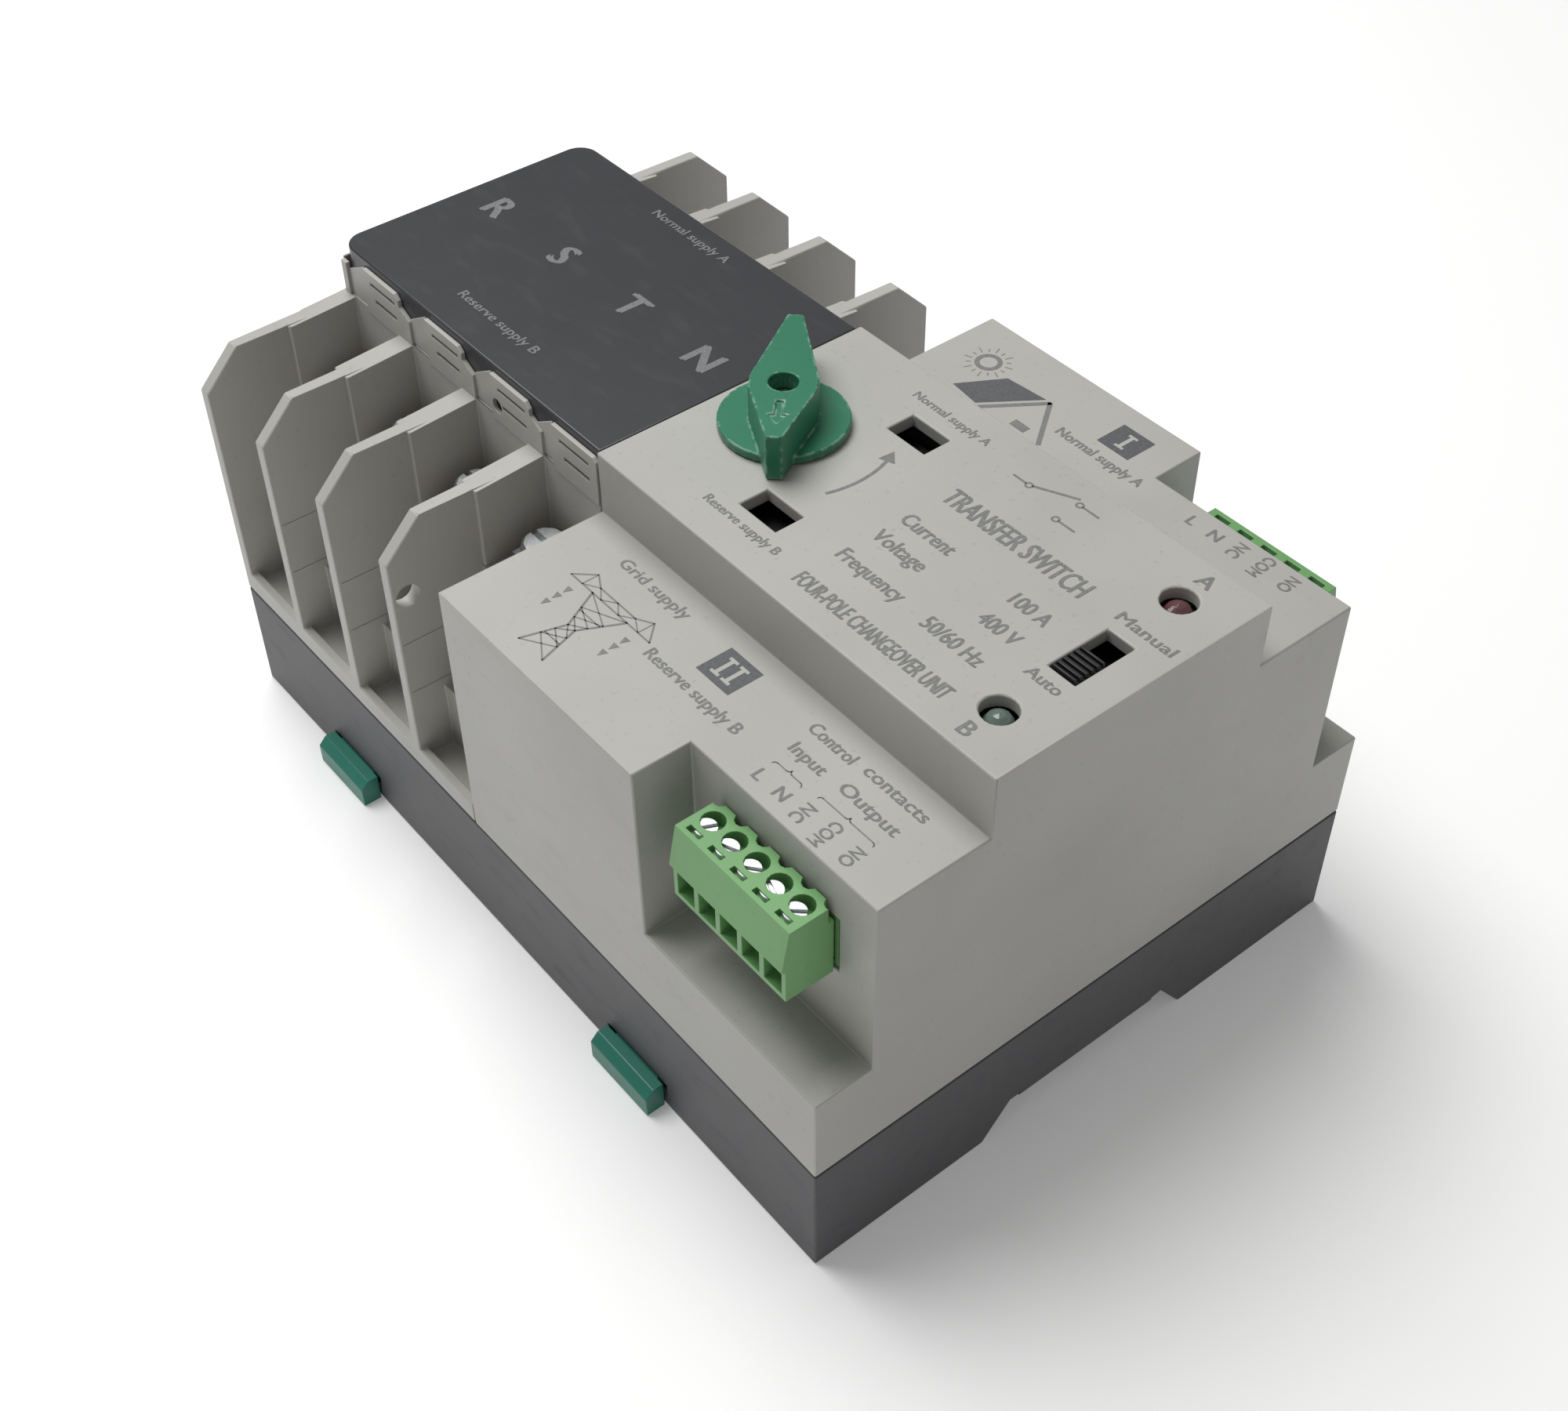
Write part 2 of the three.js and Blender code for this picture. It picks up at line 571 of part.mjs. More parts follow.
// A rocking arm about the shaft, drawn upright with its pivot at the origin of Y and Z.
function rocker(length, tipRadius, thickness) {
  const hub = bar("x", HUB_RADIUS, -thickness / 2, thickness / 2, 0, 0);
  const w = ARM_WIDTH / 2;
  const arm = box(-thickness / 2, thickness / 2, -w, w, SHAFT_RADIUS + PAST, length);
  const tip = bar("x", tipRadius, -thickness / 2, thickness / 2, 0, length, 12);
  const bore = bar("x", SHAFT_RADIUS + GAP, -thickness, thickness, 0, 0, 6);
  return carve([hub, arm, tip], [bore]);
}

// The hole for a terminal screw through a bar that lies at height z.
function screwHole(z, y) {
  return bar("z", SCREW_RADIUS + GAP, z - PAST, z + BAR_THICKNESS + PAST, 0, y, SMALL_ROUND);
}

// Supply bar on the +Y side, from its terminal to the fixed contact beside the moving one.
function sourceBar(side) {
  const z = upperShelf + GAP;
  const outline = [
    [contactReach, z],
    [upperShelfEdge - BAR_SETBACK, z],
    [upperShelfEdge - BAR_SETBACK, z + BAR_THICKNESS],
    [contactReach + BAR_THICKNESS, z + BAR_THICKNESS],
    [contactReach + BAR_THICKNESS, contactTop],
    [contactReach, contactTop],
  ];
  const strip = alongX(side > 0 ? outline : flip(outline), -BAR_WIDTH / 2, BAR_WIDTH / 2);
  return carve([strip], [screwHole(z, side * sourceScrewY)]);
}

function loadBar() {
  const z = lowerShelf + GAP;
  const w = BAR_THICKNESS / 2;
  const end = -lowerShelfEdge + BAR_SETBACK;
  const riserTop = shaftZ - HUB_RADIUS - 2 * GAP;
  const strip = alongX(
    [[end, z], [w, z], [w, riserTop], [-w, riserTop], [-w, z + BAR_THICKNESS], [end, z + BAR_THICKNESS]],
    -BAR_WIDTH / 2, BAR_WIDTH / 2,
  );
  return carve([strip], [screwHole(z, -loadScrewY)]);
}

// A slotted terminal screw, standing on its head's underside.
function terminalScrew() {
  const body = turned([[0, -SCREW_LENGTH], [SCREW_RADIUS, -SCREW_LENGTH], [SCREW_RADIUS, 0],
    [SCREW_HEAD_RADIUS, 0], [SCREW_HEAD_RADIUS, SCREW_HEAD_HEIGHT - SCREW_EDGE],
    [SCREW_HEAD_RADIUS - SCREW_EDGE, SCREW_HEAD_HEIGHT], [0, SCREW_HEAD_HEIGHT]], SMALL_ROUND);
  const reach = SCREW_HEAD_RADIUS + PAST;
  const slot = box(-reach, reach, -SCREW_SLOT_WIDTH / 2, SCREW_SLOT_WIDTH / 2,
    SCREW_HEAD_HEIGHT - SCREW_SLOT_DEPTH, SCREW_HEAD_HEIGHT + PAST);
  return carve([body], [slot]);
}

function addPoles() {
  const moving = rocker(ARM_LENGTH, PAD_RADIUS, ARM_THICKNESS);
  const screw = terminalScrew();
  const headZ = (shelf) => shelf + GAP + BAR_THICKNESS + SADDLE_SPACE;
  for (const [i, x] of poleCentres.entries()) {
    const pole = POLES[i];
    const pivot = new THREE.Group();
    pivot.position.set(x, 0, shaftZ);
    pivot.rotation.x = rockAngle;
    assembly.add(pivot);
    place("moving_contact_" + pole, moving, "copper", [0, 0, 0], 0, pivot);
    place("source_bar_a_" + pole, sourceBar(1), "copper", [x, 0, 0]);
    place("source_bar_b_" + pole, sourceBar(-1), "copper", [x, 0, 0]);
    place("load_bar_" + pole, loadBar(), "copper", [x, 0, 0]);
    place("screw_a_" + pole, screw, "zinc", [x, sourceScrewY, headZ(upperShelf)]);
    place("screw_b_" + pole, screw, "zinc", [x, -sourceScrewY, headZ(upperShelf)]);
    place("screw_load_" + pole, screw, "zinc", [x, -loadScrewY, headZ(lowerShelf)]);
  }
}

// ---- control unit ----

function controlHousing() {
  const outer = [
    box(xJoint, xNotch, -half, half, housingFoot, tierTop),
    box(xJoint, xRight, -notchWall, notchWall, housingFoot, tierTop),
    box(xJoint, xRight, -half, half, housingFoot, notchFloor),
    box(xJoint, xRight, -raised, raised, housingFoot, PANEL_TOP),
  ];
  const low = housingFoot - PAST;
  const inside = [
    box(xJoint + WALL, xNotch - WALL, -half + WALL, half - WALL, low, tierTop - WALL),
    box(xJoint + WALL, xRight - WALL, -notchWall + WALL, notchWall - WALL, low, tierTop - WALL),
    box(xJoint + WALL, xRight - WALL, -half + WALL, half - WALL, low, notchFloor - WALL),
    box(xJoint + WALL, xRight - WALL, -raised + WALL, raised - WALL, low, panelUnder),
  ];
  const top = [panelUnder - PAST, PANEL_TOP + PAST];
  const windowHalf = [WINDOW_LENGTH / 2, WINDOW_WIDTH / 2];
  const openings = [
    bar("x", SHAFT_RADIUS + SHAFT_PLAY, xJoint - PAST, xJoint + WALL + PAST, 0, shaftZ),
    bar("z", SPINDLE_RADIUS + PIN_PLAY, ...top, knobX, 0),
    box(modeX - MODE_WINDOW_X / 2, modeX + MODE_WINDOW_X / 2, MODE_WINDOW_SHIFT - MODE_WINDOW_Y / 2,
      MODE_WINDOW_SHIFT + MODE_WINDOW_Y / 2, ...top),
  ];
  for (const s of [1, -1]) {
    openings.push(box(windowX - windowHalf[0], windowX + windowHalf[0], s * WINDOW_Y - windowHalf[1],
      s * WINDOW_Y + windowHalf[1], ...top));
    openings.push(bar("z", LED_HOLE_RADIUS, ...top, xRight - LED_FROM_END, s * LED_Y));
    const edges = [s * (notchWall - WALL - PAST), s * (notchWall + PAST)].sort((a, b) => a - b);
    openings.push(box(plugX - headerHalf - GAP, plugX + headerHalf + GAP, ...edges,
      headerLow - GAP, headerHigh + GAP));
  }
  let body = join(...outer).subtract(join(...inside)).subtract(join(...openings));
  for (const [x, y] of caseScrewPlaces.slice(2)) {
    body = body.add(solid(screwPost(x, y, notchFloor - WALL + GAP)));
    body = body.subtract(solid(bar("z", boreRadius, bossTop - PAST, housingFoot, x, y)));
  }
  return geometryOf(body);
}

// The plug and its header are drawn for the -Y side, with Y = 0 on the outer face of the notch wall.
const tongueHalf = plugLength / 2 - TONGUE_INSET;
const tongueLow = plugBottom + TONGUE_LIFT;
const headerHalf = tongueHalf + GAP + HEADER_WALL;
const headerLow = tongueLow - GAP - HEADER_WALL;
const headerHigh = tongueLow + TONGUE_HEIGHT + GAP + HEADER_WALL;
const wayCentres = Array.from({ length: PLUG_WAYS }, (_, i) => (i - (PLUG_WAYS - 1) / 2) * PLUG_PITCH);

function plug() {
  const lipZ = plugTop - PLUG_LIP_HEIGHT;
  const front = -PLUG_DEPTH;
  const skirt = front - PLUG_SKIRT;
  const back = -GAP;
  const body = alongX(
    [[back, plugBottom], [back, plugTop], [front, plugTop], [front - PLUG_LIP, lipZ],
      [skirt, lipZ - PLUG_LIP_THICKNESS], [skirt, plugBottom]].reverse(),
    -plugLength / 2, plugLength / 2,
  );
  const tongueTop = tongueLow + TONGUE_HEIGHT;
  const tongue = box(-tongueHalf, tongueHalf, back - PAST, TONGUE_LENGTH, tongueLow, tongueTop);
  const cuts = [];
  const holeFloor = plugTop - DRIVER_HOLE_DEPTH;
  const driverY = front / 2 + DRIVER_HOLE_SHIFT;
  const [slotLength, slotWidth, slotDepth] = TEST_SLOT;
  const slotY = front + TEST_SLOT_INSET;
  for (const x of wayCentres) {
    cuts.push(box(x - ENTRY_HALF, x + ENTRY_HALF, front - PLUG_LIP - PAST, front + ENTRY_DEPTH,
      plugBottom + ENTRY_FLOOR, lipZ - ENTRY_DROP));
    cuts.push(bar("z", DRIVER_HOLE_RADIUS, holeFloor, plugTop + PAST, x, driverY, 16));
    cuts.push(box(x - slotLength / 2, x + slotLength / 2, slotY - slotWidth / 2, slotY + slotWidth / 2,
      plugTop - slotDepth, plugTop + PAST));
  }
  for (let i = 0; i <= PLUG_WAYS; i++) {
    const x = (i - PLUG_WAYS / 2) * PLUG_PITCH;
    cuts.push(bar("z", SCALLOP_RADIUS, holeFloor, plugTop + PAST, x, back + SCALLOP_SHIFT, 10));
  }
  return carve([body, tongue], cuts);
}

function header() {
  const shroud = box(-headerHalf, headerHalf, GAP, HEADER_DEPTH, headerLow, headerHigh);
  const socket = box(-tongueHalf - GAP, tongueHalf + GAP, 0, TONGUE_LENGTH + GAP, tongueLow - GAP,
    tongueLow + TONGUE_HEIGHT + GAP);
  return carve([shroud], [socket]);
}

function led() {
  const domeZ = PANEL_TOP - LED_SINK - LED_RADIUS;
  const foot = boardTop + GAP;
  const rim = LED_RADIUS + LED_RIM;
  const rimTop = foot + LED_RIM_HEIGHT;
  const profile = [[0, foot], [rim, foot], [rim, rimTop], [LED_RADIUS, rimTop]];
  const steps = 4;
  for (let i = 0; i <= steps; i++) {
    const a = (i / steps) * (Math.PI / 2);
    profile.push([i === steps ? 0 : LED_RADIUS * Math.cos(a), domeZ + LED_RADIUS * Math.sin(a)]);
  }
  return turned(profile, 16);
}

const modeRest = MODE_WINDOW_SHIFT - MODE_TRAVEL / 2;
const modeGripHalf = (MODE_WINDOW_Y - MODE_TRAVEL) / 2 - GAP;
const modeShoeTop = panelUnder - MODE_SHOE_DROP;
const [shoeHalf, shoeReach, shoeThickness] = MODE_SHOE;

function modeSlider() {
  const shoe = box(-shoeHalf, shoeHalf, -modeGripHalf - shoeReach, modeGripHalf + shoeReach,
    modeShoeTop - shoeThickness, modeShoeTop);
  const gripTop = PANEL_TOP + MODE_PROUD;
  const gripHalf = MODE_WINDOW_X / 2 - GAP;
  const grip = box(-gripHalf, gripHalf, -modeGripHalf, modeGripHalf, modeShoeTop - PAST, gripTop);
  const step = (2 * modeGripHalf) / (MODE_GROOVES + 0.2);
  const grooves = [];
  for (let i = 0; i < MODE_GROOVES; i++) {
    const y = (i - (MODE_GROOVES - 1) / 2) * step;
    grooves.push(box(-MODE_WINDOW_X, MODE_WINDOW_X, y - MODE_GROOVE_WIDTH / 2, y + MODE_GROOVE_WIDTH / 2,
      gripTop - MODE_GROOVE_DEPTH, gripTop + PAST));
  }
  return carve([shoe, grip], grooves);
}

function modeSwitchBody() {
  const [halfX, halfY] = MODE_BODY;
  return box(-halfX, halfX, -halfY, halfY, boardTop + GAP, modeShoeTop - shoeThickness - GAP);
}

function controlBoard() {
  const edge = raised - WALL - BOARD_MARGIN;
  return box(xNotch - BOARD_REACH, xRight - WALL - BOARD_MARGIN, -edge, edge, boardTop - BOARD_THICKNESS,
    boardTop);
}

// ---- handle ----

// The handle is drawn with its pointer along +X.
function knob() {
  const foot = PANEL_TOP + GAP;
  const top = PANEL_TOP + KNOB_HEIGHT;
  const disc = bar("z", KNOB_DISC_RADIUS, foot, foot + KNOB_DISC_THICKNESS, 0, 0, 36);
  const grip = alongZ(
    [[KNOB_POINTER, -KNOB_TIP], [KNOB_POINTER, KNOB_TIP], [KNOB_WAIST, KNOB_HALF_WIDTH],
      [-KNOB_WAIST, KNOB_HALF_WIDTH], [-KNOB_TAIL, KNOB_TIP], [-KNOB_TAIL, -KNOB_TIP],
      [-KNOB_WAIST, -KNOB_HALF_WIDTH], [KNOB_WAIST, -KNOB_HALF_WIDTH]],
    foot, top,
  );
  const arrow = alongZ(
    [[ARROW_TIP, 0], [ARROW_NECK, -ARROW_HALF_WIDTH], [ARROW_NECK, -ARROW_SHAFT_HALF],
      [ARROW_TAIL, -ARROW_SHAFT_HALF], [ARROW_TAIL, ARROW_SHAFT_HALF], [ARROW_NECK, ARROW_SHAFT_HALF],
      [ARROW_NECK, ARROW_HALF_WIDTH]],
    top - ENGRAVING, top + PAST,
  );
  const socket = bar("z", SPINDLE_RADIUS + GAP, foot - PAST, foot + KNOB_SOCKET_DEPTH);
  const screwHole = bar("z", CASE_SCREW_RADIUS + GAP, foot, foot + KNOB_FLOOR + PAST, 0, 0, SMALL_ROUND);
  const hole = bar("z", KNOB_HOLE_RADIUS, foot + KNOB_FLOOR, top + PAST);
  return carve([disc, grip], [arrow, socket, screwHole, hole]);
}

function knobScrew() {
  const seat = PANEL_TOP + GAP + KNOB_FLOOR + GAP;
  const head = KNOB_HOLE_RADIUS - GAP;
  const top = seat + KNOB_SCREW_HEAD_HEIGHT;
  const tip = crankDiscFoot + KNOB_SCREW_TIP;
  return turned([[0, tip], [CASE_SCREW_RADIUS, tip], [CASE_SCREW_RADIUS, seat], [head, seat], [head, top],
    [0, top]], SMALL_ROUND);
}

const crankDiscTop = panelUnder - CRANK_DISC_DROP;
const crankDiscFoot = sliderTop + CRANK_DISC_LIFT;

function knobSpindle() {
  const top = PANEL_TOP + KNOB_SOCKET_DEPTH;
  const body = turned([[0, crankDiscFoot], [CRANK_DISC_RADIUS, crankDiscFoot],
    [CRANK_DISC_RADIUS, crankDiscTop], [SPINDLE_RADIUS, crankDiscTop], [SPINDLE_RADIUS, top], [0, top]], 16);
  const pinFoot = sliderTop - SLIDER_THICKNESS - 2 * GAP;
  const pin = bar("z", CRANK_PIN_RADIUS, pinFoot, crankDiscTop - 0.5, CRANK_RADIUS, 0, SMALL_ROUND);
  const bore = bar("z", CASE_SCREW_RADIUS + GAP, crankDiscFoot + KNOB_SCREW_TIP - PAST, top + PAST, 0, 0,
    SMALL_ROUND);
  return carve([body, pin], [bore]);
}

function addHandle() {
  const handle = new THREE.Group();
  handle.position.set(knobX, 0, 0);
  handle.rotation.z = THREE.MathUtils.degToRad(KNOB_REST_ANGLE);
  assembly.add(handle);
  place("knob", knob(), "knobGreen", [0, 0, 0], 0, handle);
  place("knob_screw", knobScrew(), "zinc", [0, 0, 0], 0, handle);
  place("knob_spindle", knobSpindle(), "steel", [0, 0, 0], 0, handle);
}

// ---- transfer mechanism ----

// The slider is drawn with its middle on Y = 0. Its flags pass under the indicator windows, its
// fork rocks the shaft's lever and its post carries the plunger.
function transferSlider() {
  const foot = sliderTop - SLIDER_THICKNESS;
  const flagHalf = raised - WALL - throwDistance - 2 * GAP;
  const bridgeHalf = SLIDER_BRIDGE / 2;
  const bridge = box(leverX - LEVER_THICKNESS, windowX, -bridgeHalf, bridgeHalf, foot, sliderTop);
  const flagReach = WINDOW_LENGTH / 2 + FLAG_MARGIN;
  const flags = box(windowX - flagReach, windowX + flagReach, -flagHalf, flagHalf, foot, sliderTop);
  const inner = LEVER_TIP_RADIUS + PIN_PLAY;
  const prongs = [1, -1].map((s) => {
    const edges = [s * inner, s * (inner + FORK_WALL)].sort((a, b) => a - b);
    return box(leverX - LEVER_THICKNESS / 2, leverX + LEVER_THICKNESS / 2, ...edges,
      shaftZ + LEVER_LENGTH - forkDepth, foot + PAST);
  });
  const eyeHalf = PLUNGER_RADIUS + SLIDER_EYE_WALL;
  const p = SLIDER_POST / 2;
  const post = box(windowX - p, windowX + p, -p, p, plungerZ, foot + PAST);
  const eye = box(windowX - eyeHalf, windowX + eyeHalf, -p, p, plungerZ - eyeHalf, plungerZ + eyeHalf);
  const slotHalf = CRANK_PIN_RADIUS + PIN_PLAY;
  const slot = box(knobX + throwDistance - slotHalf, knobX + CRANK_RADIUS + slotHalf, -slotHalf, slotHalf,
    foot - PAST, sliderTop + PAST);
  const bore = bar("y", PLUNGER_RADIUS + GAP, -p - PAST, p + PAST, windowX, plungerZ);
  return carve([bridge, flags, ...prongs, post, eye], [slot, bore]);
}

function plunger() {
  const collar = PLUNGER_RADIUS + COLLAR_HEIGHT;
  const collarNear = SLIDER_POST / 2 + GAP;
  return fuse(
    bar("y", PLUNGER_RADIUS, -PLUNGER_LENGTH / 2, PLUNGER_LENGTH / 2, windowX, plungerZ),
    bar("y", collar, collarNear, COLLAR_END, windowX, plungerZ),
    bar("y", collar, -COLLAR_END, -collarNear, windowX, plungerZ),
  );
}

// One coil on its bobbin, for the +Y side.
function coil() {
  const bore = PLUNGER_RADIUS + PLUNGER_PLAY;
  const winding = COIL_RADIUS - WINDING_DEPTH;
  const far = COIL_NEAR + COIL_LENGTH;
  const spool = turned([[bore, COIL_NEAR], [COIL_RADIUS, COIL_NEAR], [COIL_RADIUS, COIL_NEAR + BOBBIN_WALL],
    [winding, COIL_NEAR + BOBBIN_WALL], [winding, far - BOBBIN_WALL], [COIL_RADIUS, far - BOBBIN_WALL],
    [COIL_RADIUS, far], [bore, far], [bore, COIL_NEAR]]);
  return geometryOf(solid(spool)).rotateX(-Math.PI / 2);
}

// The steel strap around one coil, for the +Y side.
function yoke() {
  const t = YOKE_THICKNESS;
  const near = COIL_NEAR - GAP;
  const far = COIL_NEAR + COIL_LENGTH + GAP;
  const foot = -COIL_RADIUS - GAP;
  const strapHalf = COIL_RADIUS - YOKE_INSET;
  const strap = alongX(
    [[near - t, foot - t], [far + t, foot - t], [far + t, COIL_RADIUS], [far, COIL_RADIUS], [far, foot],
      [near, foot], [near, COIL_RADIUS], [near - t, COIL_RADIUS]],
    -strapHalf, strapHalf,
  );
  return carve([strap], [bar("y", PLUNGER_RADIUS + PLUNGER_PLAY, near - 2 * t, far + 2 * t)]);
}

function mechanismFrame() {
  const top = plungerZ - COIL_RADIUS - YOKE_THICKNESS - 2 * GAP;
  const reach = COIL_NEAR + COIL_LENGTH + YOKE_THICKNESS;
  const plate = box(-COIL_RADIUS, COIL_RADIUS, -reach, reach, top - FRAME_THICKNESS, top);
  const [legX, legY] = FRAME_LEG.map((size) => size / 2);
  const legs = [];
  for (const x of [legX - COIL_RADIUS, COIL_RADIUS - legX]) {
    for (const y of [FRAME_LEG_INSET - railHalf, railHalf - FRAME_LEG_INSET]) {
      legs.push(box(x - legX, x + legX, y - legY, y + legY, BASE_WALL + GAP, top - FRAME_THICKNESS / 2));
    }
  }
  return fuse(plate, ...legs);
}

function poleShaft() {
  const from = xLeft + RIB_THIN + GAP;
  return bar("x", SHAFT_RADIUS, from, leverX + LEVER_THICKNESS, 0, 0, 6);
}

function addMechanism() {
  const rest = -throwDistance;
  place("transfer_slider", transferSlider(), "blackPlastic", [0, rest, 0]);
  place("plunger", plunger(), "steel", [0, rest, 0]);
  const rocking = new THREE.Group();
  rocking.position.set(0, 0, shaftZ);
  rocking.rotation.x = rockAngle;
  assembly.add(rocking);
  place("pole_shaft", poleShaft(), "steel", [0, 0, 0], 0, rocking);
  place("transfer_lever", rocker(LEVER_LENGTH, LEVER_TIP_RADIUS, LEVER_THICKNESS), "steel", [leverX, 0, 0], 0,
    rocking);
  place("mechanism_frame", mechanismFrame(), "steel", [windowX, 0, 0]);
  place("coil_a", coil(), "coilWire", [windowX, 0, plungerZ]);
  place("coil_b", coil(), "coilWire", [windowX, 0, plungerZ], Math.PI);
  place("yoke_a", yoke(), "steel", [windowX, 0, plungerZ]);
  place("yoke_b", yoke(), "steel", [windowX, 0, plungerZ], Math.PI);
}

// ---- fasteners of the case ----

function caseScrew() {
  const foot = bottom + GAP;
  const seat = bottom + CASE_SCREW_SINK - GAP;
  const tip = housingFoot - CASE_SCREW_END;
  return turned([[0, foot], [CASE_SCREW_HEAD, foot], [CASE_SCREW_HEAD, seat], [CASE_SCREW_RADIUS, seat],
    [CASE_SCREW_RADIUS, tip], [0, tip]], SMALL_ROUND);
}

// ---- the whole switch ----

place("base_tray", baseTray(), "darkPlastic");
place("pole_housing", poleHousing(), "lightPlastic");
place("pole_cover", poleCover(), "coverPlastic");
place("control_housing", controlHousing(), "lightPlastic");
addPoles();
addHandle();
addMechanism();
place("control_board", controlBoard(), "boardGreen");
place("mode_switch_body", modeSwitchBody(), "blackPlastic", [modeX, MODE_WINDOW_SHIFT, 0]);
place("mode_slider", modeSlider(), "blackPlastic", [modeX, modeRest, 0]);
place("led_a", led(), "ledRed", [xRight - LED_FROM_END, LED_Y, 0]);
place("led_b", led(), "ledGreen", [xRight - LED_FROM_END, -LED_Y, 0]);
place("plug_b", plug(), "plugGreen", [plugX, -notchWall, 0]);
place("plug_a", plug(), "plugGreen", [plugX, notchWall, 0], Math.PI);
place("header_b", header(), "plugGreen", [plugX, -notchWall, 0]);
place("header_a", header(), "plugGreen", [plugX, notchWall, 0], Math.PI);
clipCentres.forEach((x, i) => place("rail_clip_" + (i + 1), railClip(), "clipGreen", [x, 0, 0]));
caseScrewPlaces.forEach(([x, y], i) => place("case_screw_" + (i + 1), caseScrew(), "zinc", [x, y, 0]));

export default assembly;
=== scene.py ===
import json
from math import asin, cos, pi, radians, sin

import bmesh
import bpy
from mathutils import Euler, Matrix, Vector

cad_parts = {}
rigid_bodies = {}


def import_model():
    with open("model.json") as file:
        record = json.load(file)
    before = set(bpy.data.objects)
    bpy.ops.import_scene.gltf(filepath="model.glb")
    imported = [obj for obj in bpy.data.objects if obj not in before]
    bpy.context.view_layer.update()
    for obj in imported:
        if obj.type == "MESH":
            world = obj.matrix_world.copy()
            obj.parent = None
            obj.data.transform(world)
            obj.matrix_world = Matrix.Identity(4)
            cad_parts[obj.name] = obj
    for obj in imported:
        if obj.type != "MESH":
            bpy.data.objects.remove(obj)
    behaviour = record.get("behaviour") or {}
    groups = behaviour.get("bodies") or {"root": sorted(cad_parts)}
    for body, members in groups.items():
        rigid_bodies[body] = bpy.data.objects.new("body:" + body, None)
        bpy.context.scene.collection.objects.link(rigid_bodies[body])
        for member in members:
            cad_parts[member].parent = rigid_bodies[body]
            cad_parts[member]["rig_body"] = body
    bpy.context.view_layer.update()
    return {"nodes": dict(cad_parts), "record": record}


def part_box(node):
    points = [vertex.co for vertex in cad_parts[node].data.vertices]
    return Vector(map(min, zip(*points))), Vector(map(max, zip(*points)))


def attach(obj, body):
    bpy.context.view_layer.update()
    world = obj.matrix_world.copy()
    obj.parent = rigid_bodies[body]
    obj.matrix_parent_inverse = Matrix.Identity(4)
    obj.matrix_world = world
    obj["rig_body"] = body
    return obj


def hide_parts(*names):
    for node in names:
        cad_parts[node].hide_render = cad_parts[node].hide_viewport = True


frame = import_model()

MM = 0.001
NODES = frame["nodes"]
POLES = "rstn"
SIDES = {"a": 1, "b": -1}  # supply A is on +Y, supply B on -Y


# ---- places, read from the frame ----

def middle(node):
    """The middle of a CAD node's box."""
    low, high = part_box(node)
    return (low + high) / 2


TIER_DROP = 11.9  # the lower tops of the control unit, below its panel
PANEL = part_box("control_housing")[1].z / MM
TIER = PANEL - TIER_DROP
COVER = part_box("pole_cover")[1].z / MM
COVER_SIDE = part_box("pole_cover")[1].y / MM
BASE_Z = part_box("base_tray")[0].z
CHEST_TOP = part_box("pole_housing")[1].z / MM
LEFT_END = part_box("pole_housing")[0].x / MM
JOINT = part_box("control_housing")[0].x / MM  # where the two housings meet
POLE_X = {pole: middle("source_bar_a_" + pole).x / MM for pole in POLES}
POLE_PITCH = POLE_X["s"] - POLE_X["r"]
KNOB_X = middle("knob_screw").x / MM  # the handle's axis


# ---- shader building ----

class Wire:
    """An output of a shader node. Arithmetic on it adds Math nodes."""

    def __init__(self, finish, socket):
        self.finish = finish
        self.socket = socket

    def _math(self, operation, first, second):
        return self.finish.node("ShaderNodeMath", {"operation": operation}, {0: first, 1: second})

    def __add__(self, other):
        return self._math("ADD", self, other)

    def __rsub__(self, other):
        return self._math("SUBTRACT", other, self)

    def __mul__(self, other):
        return self._math("MULTIPLY", self, other)

    __radd__ = __add__
    __rmul__ = __mul__

    def clamp(self):
        return self.finish.node("ShaderNodeClamp", {}, {"Value": self})


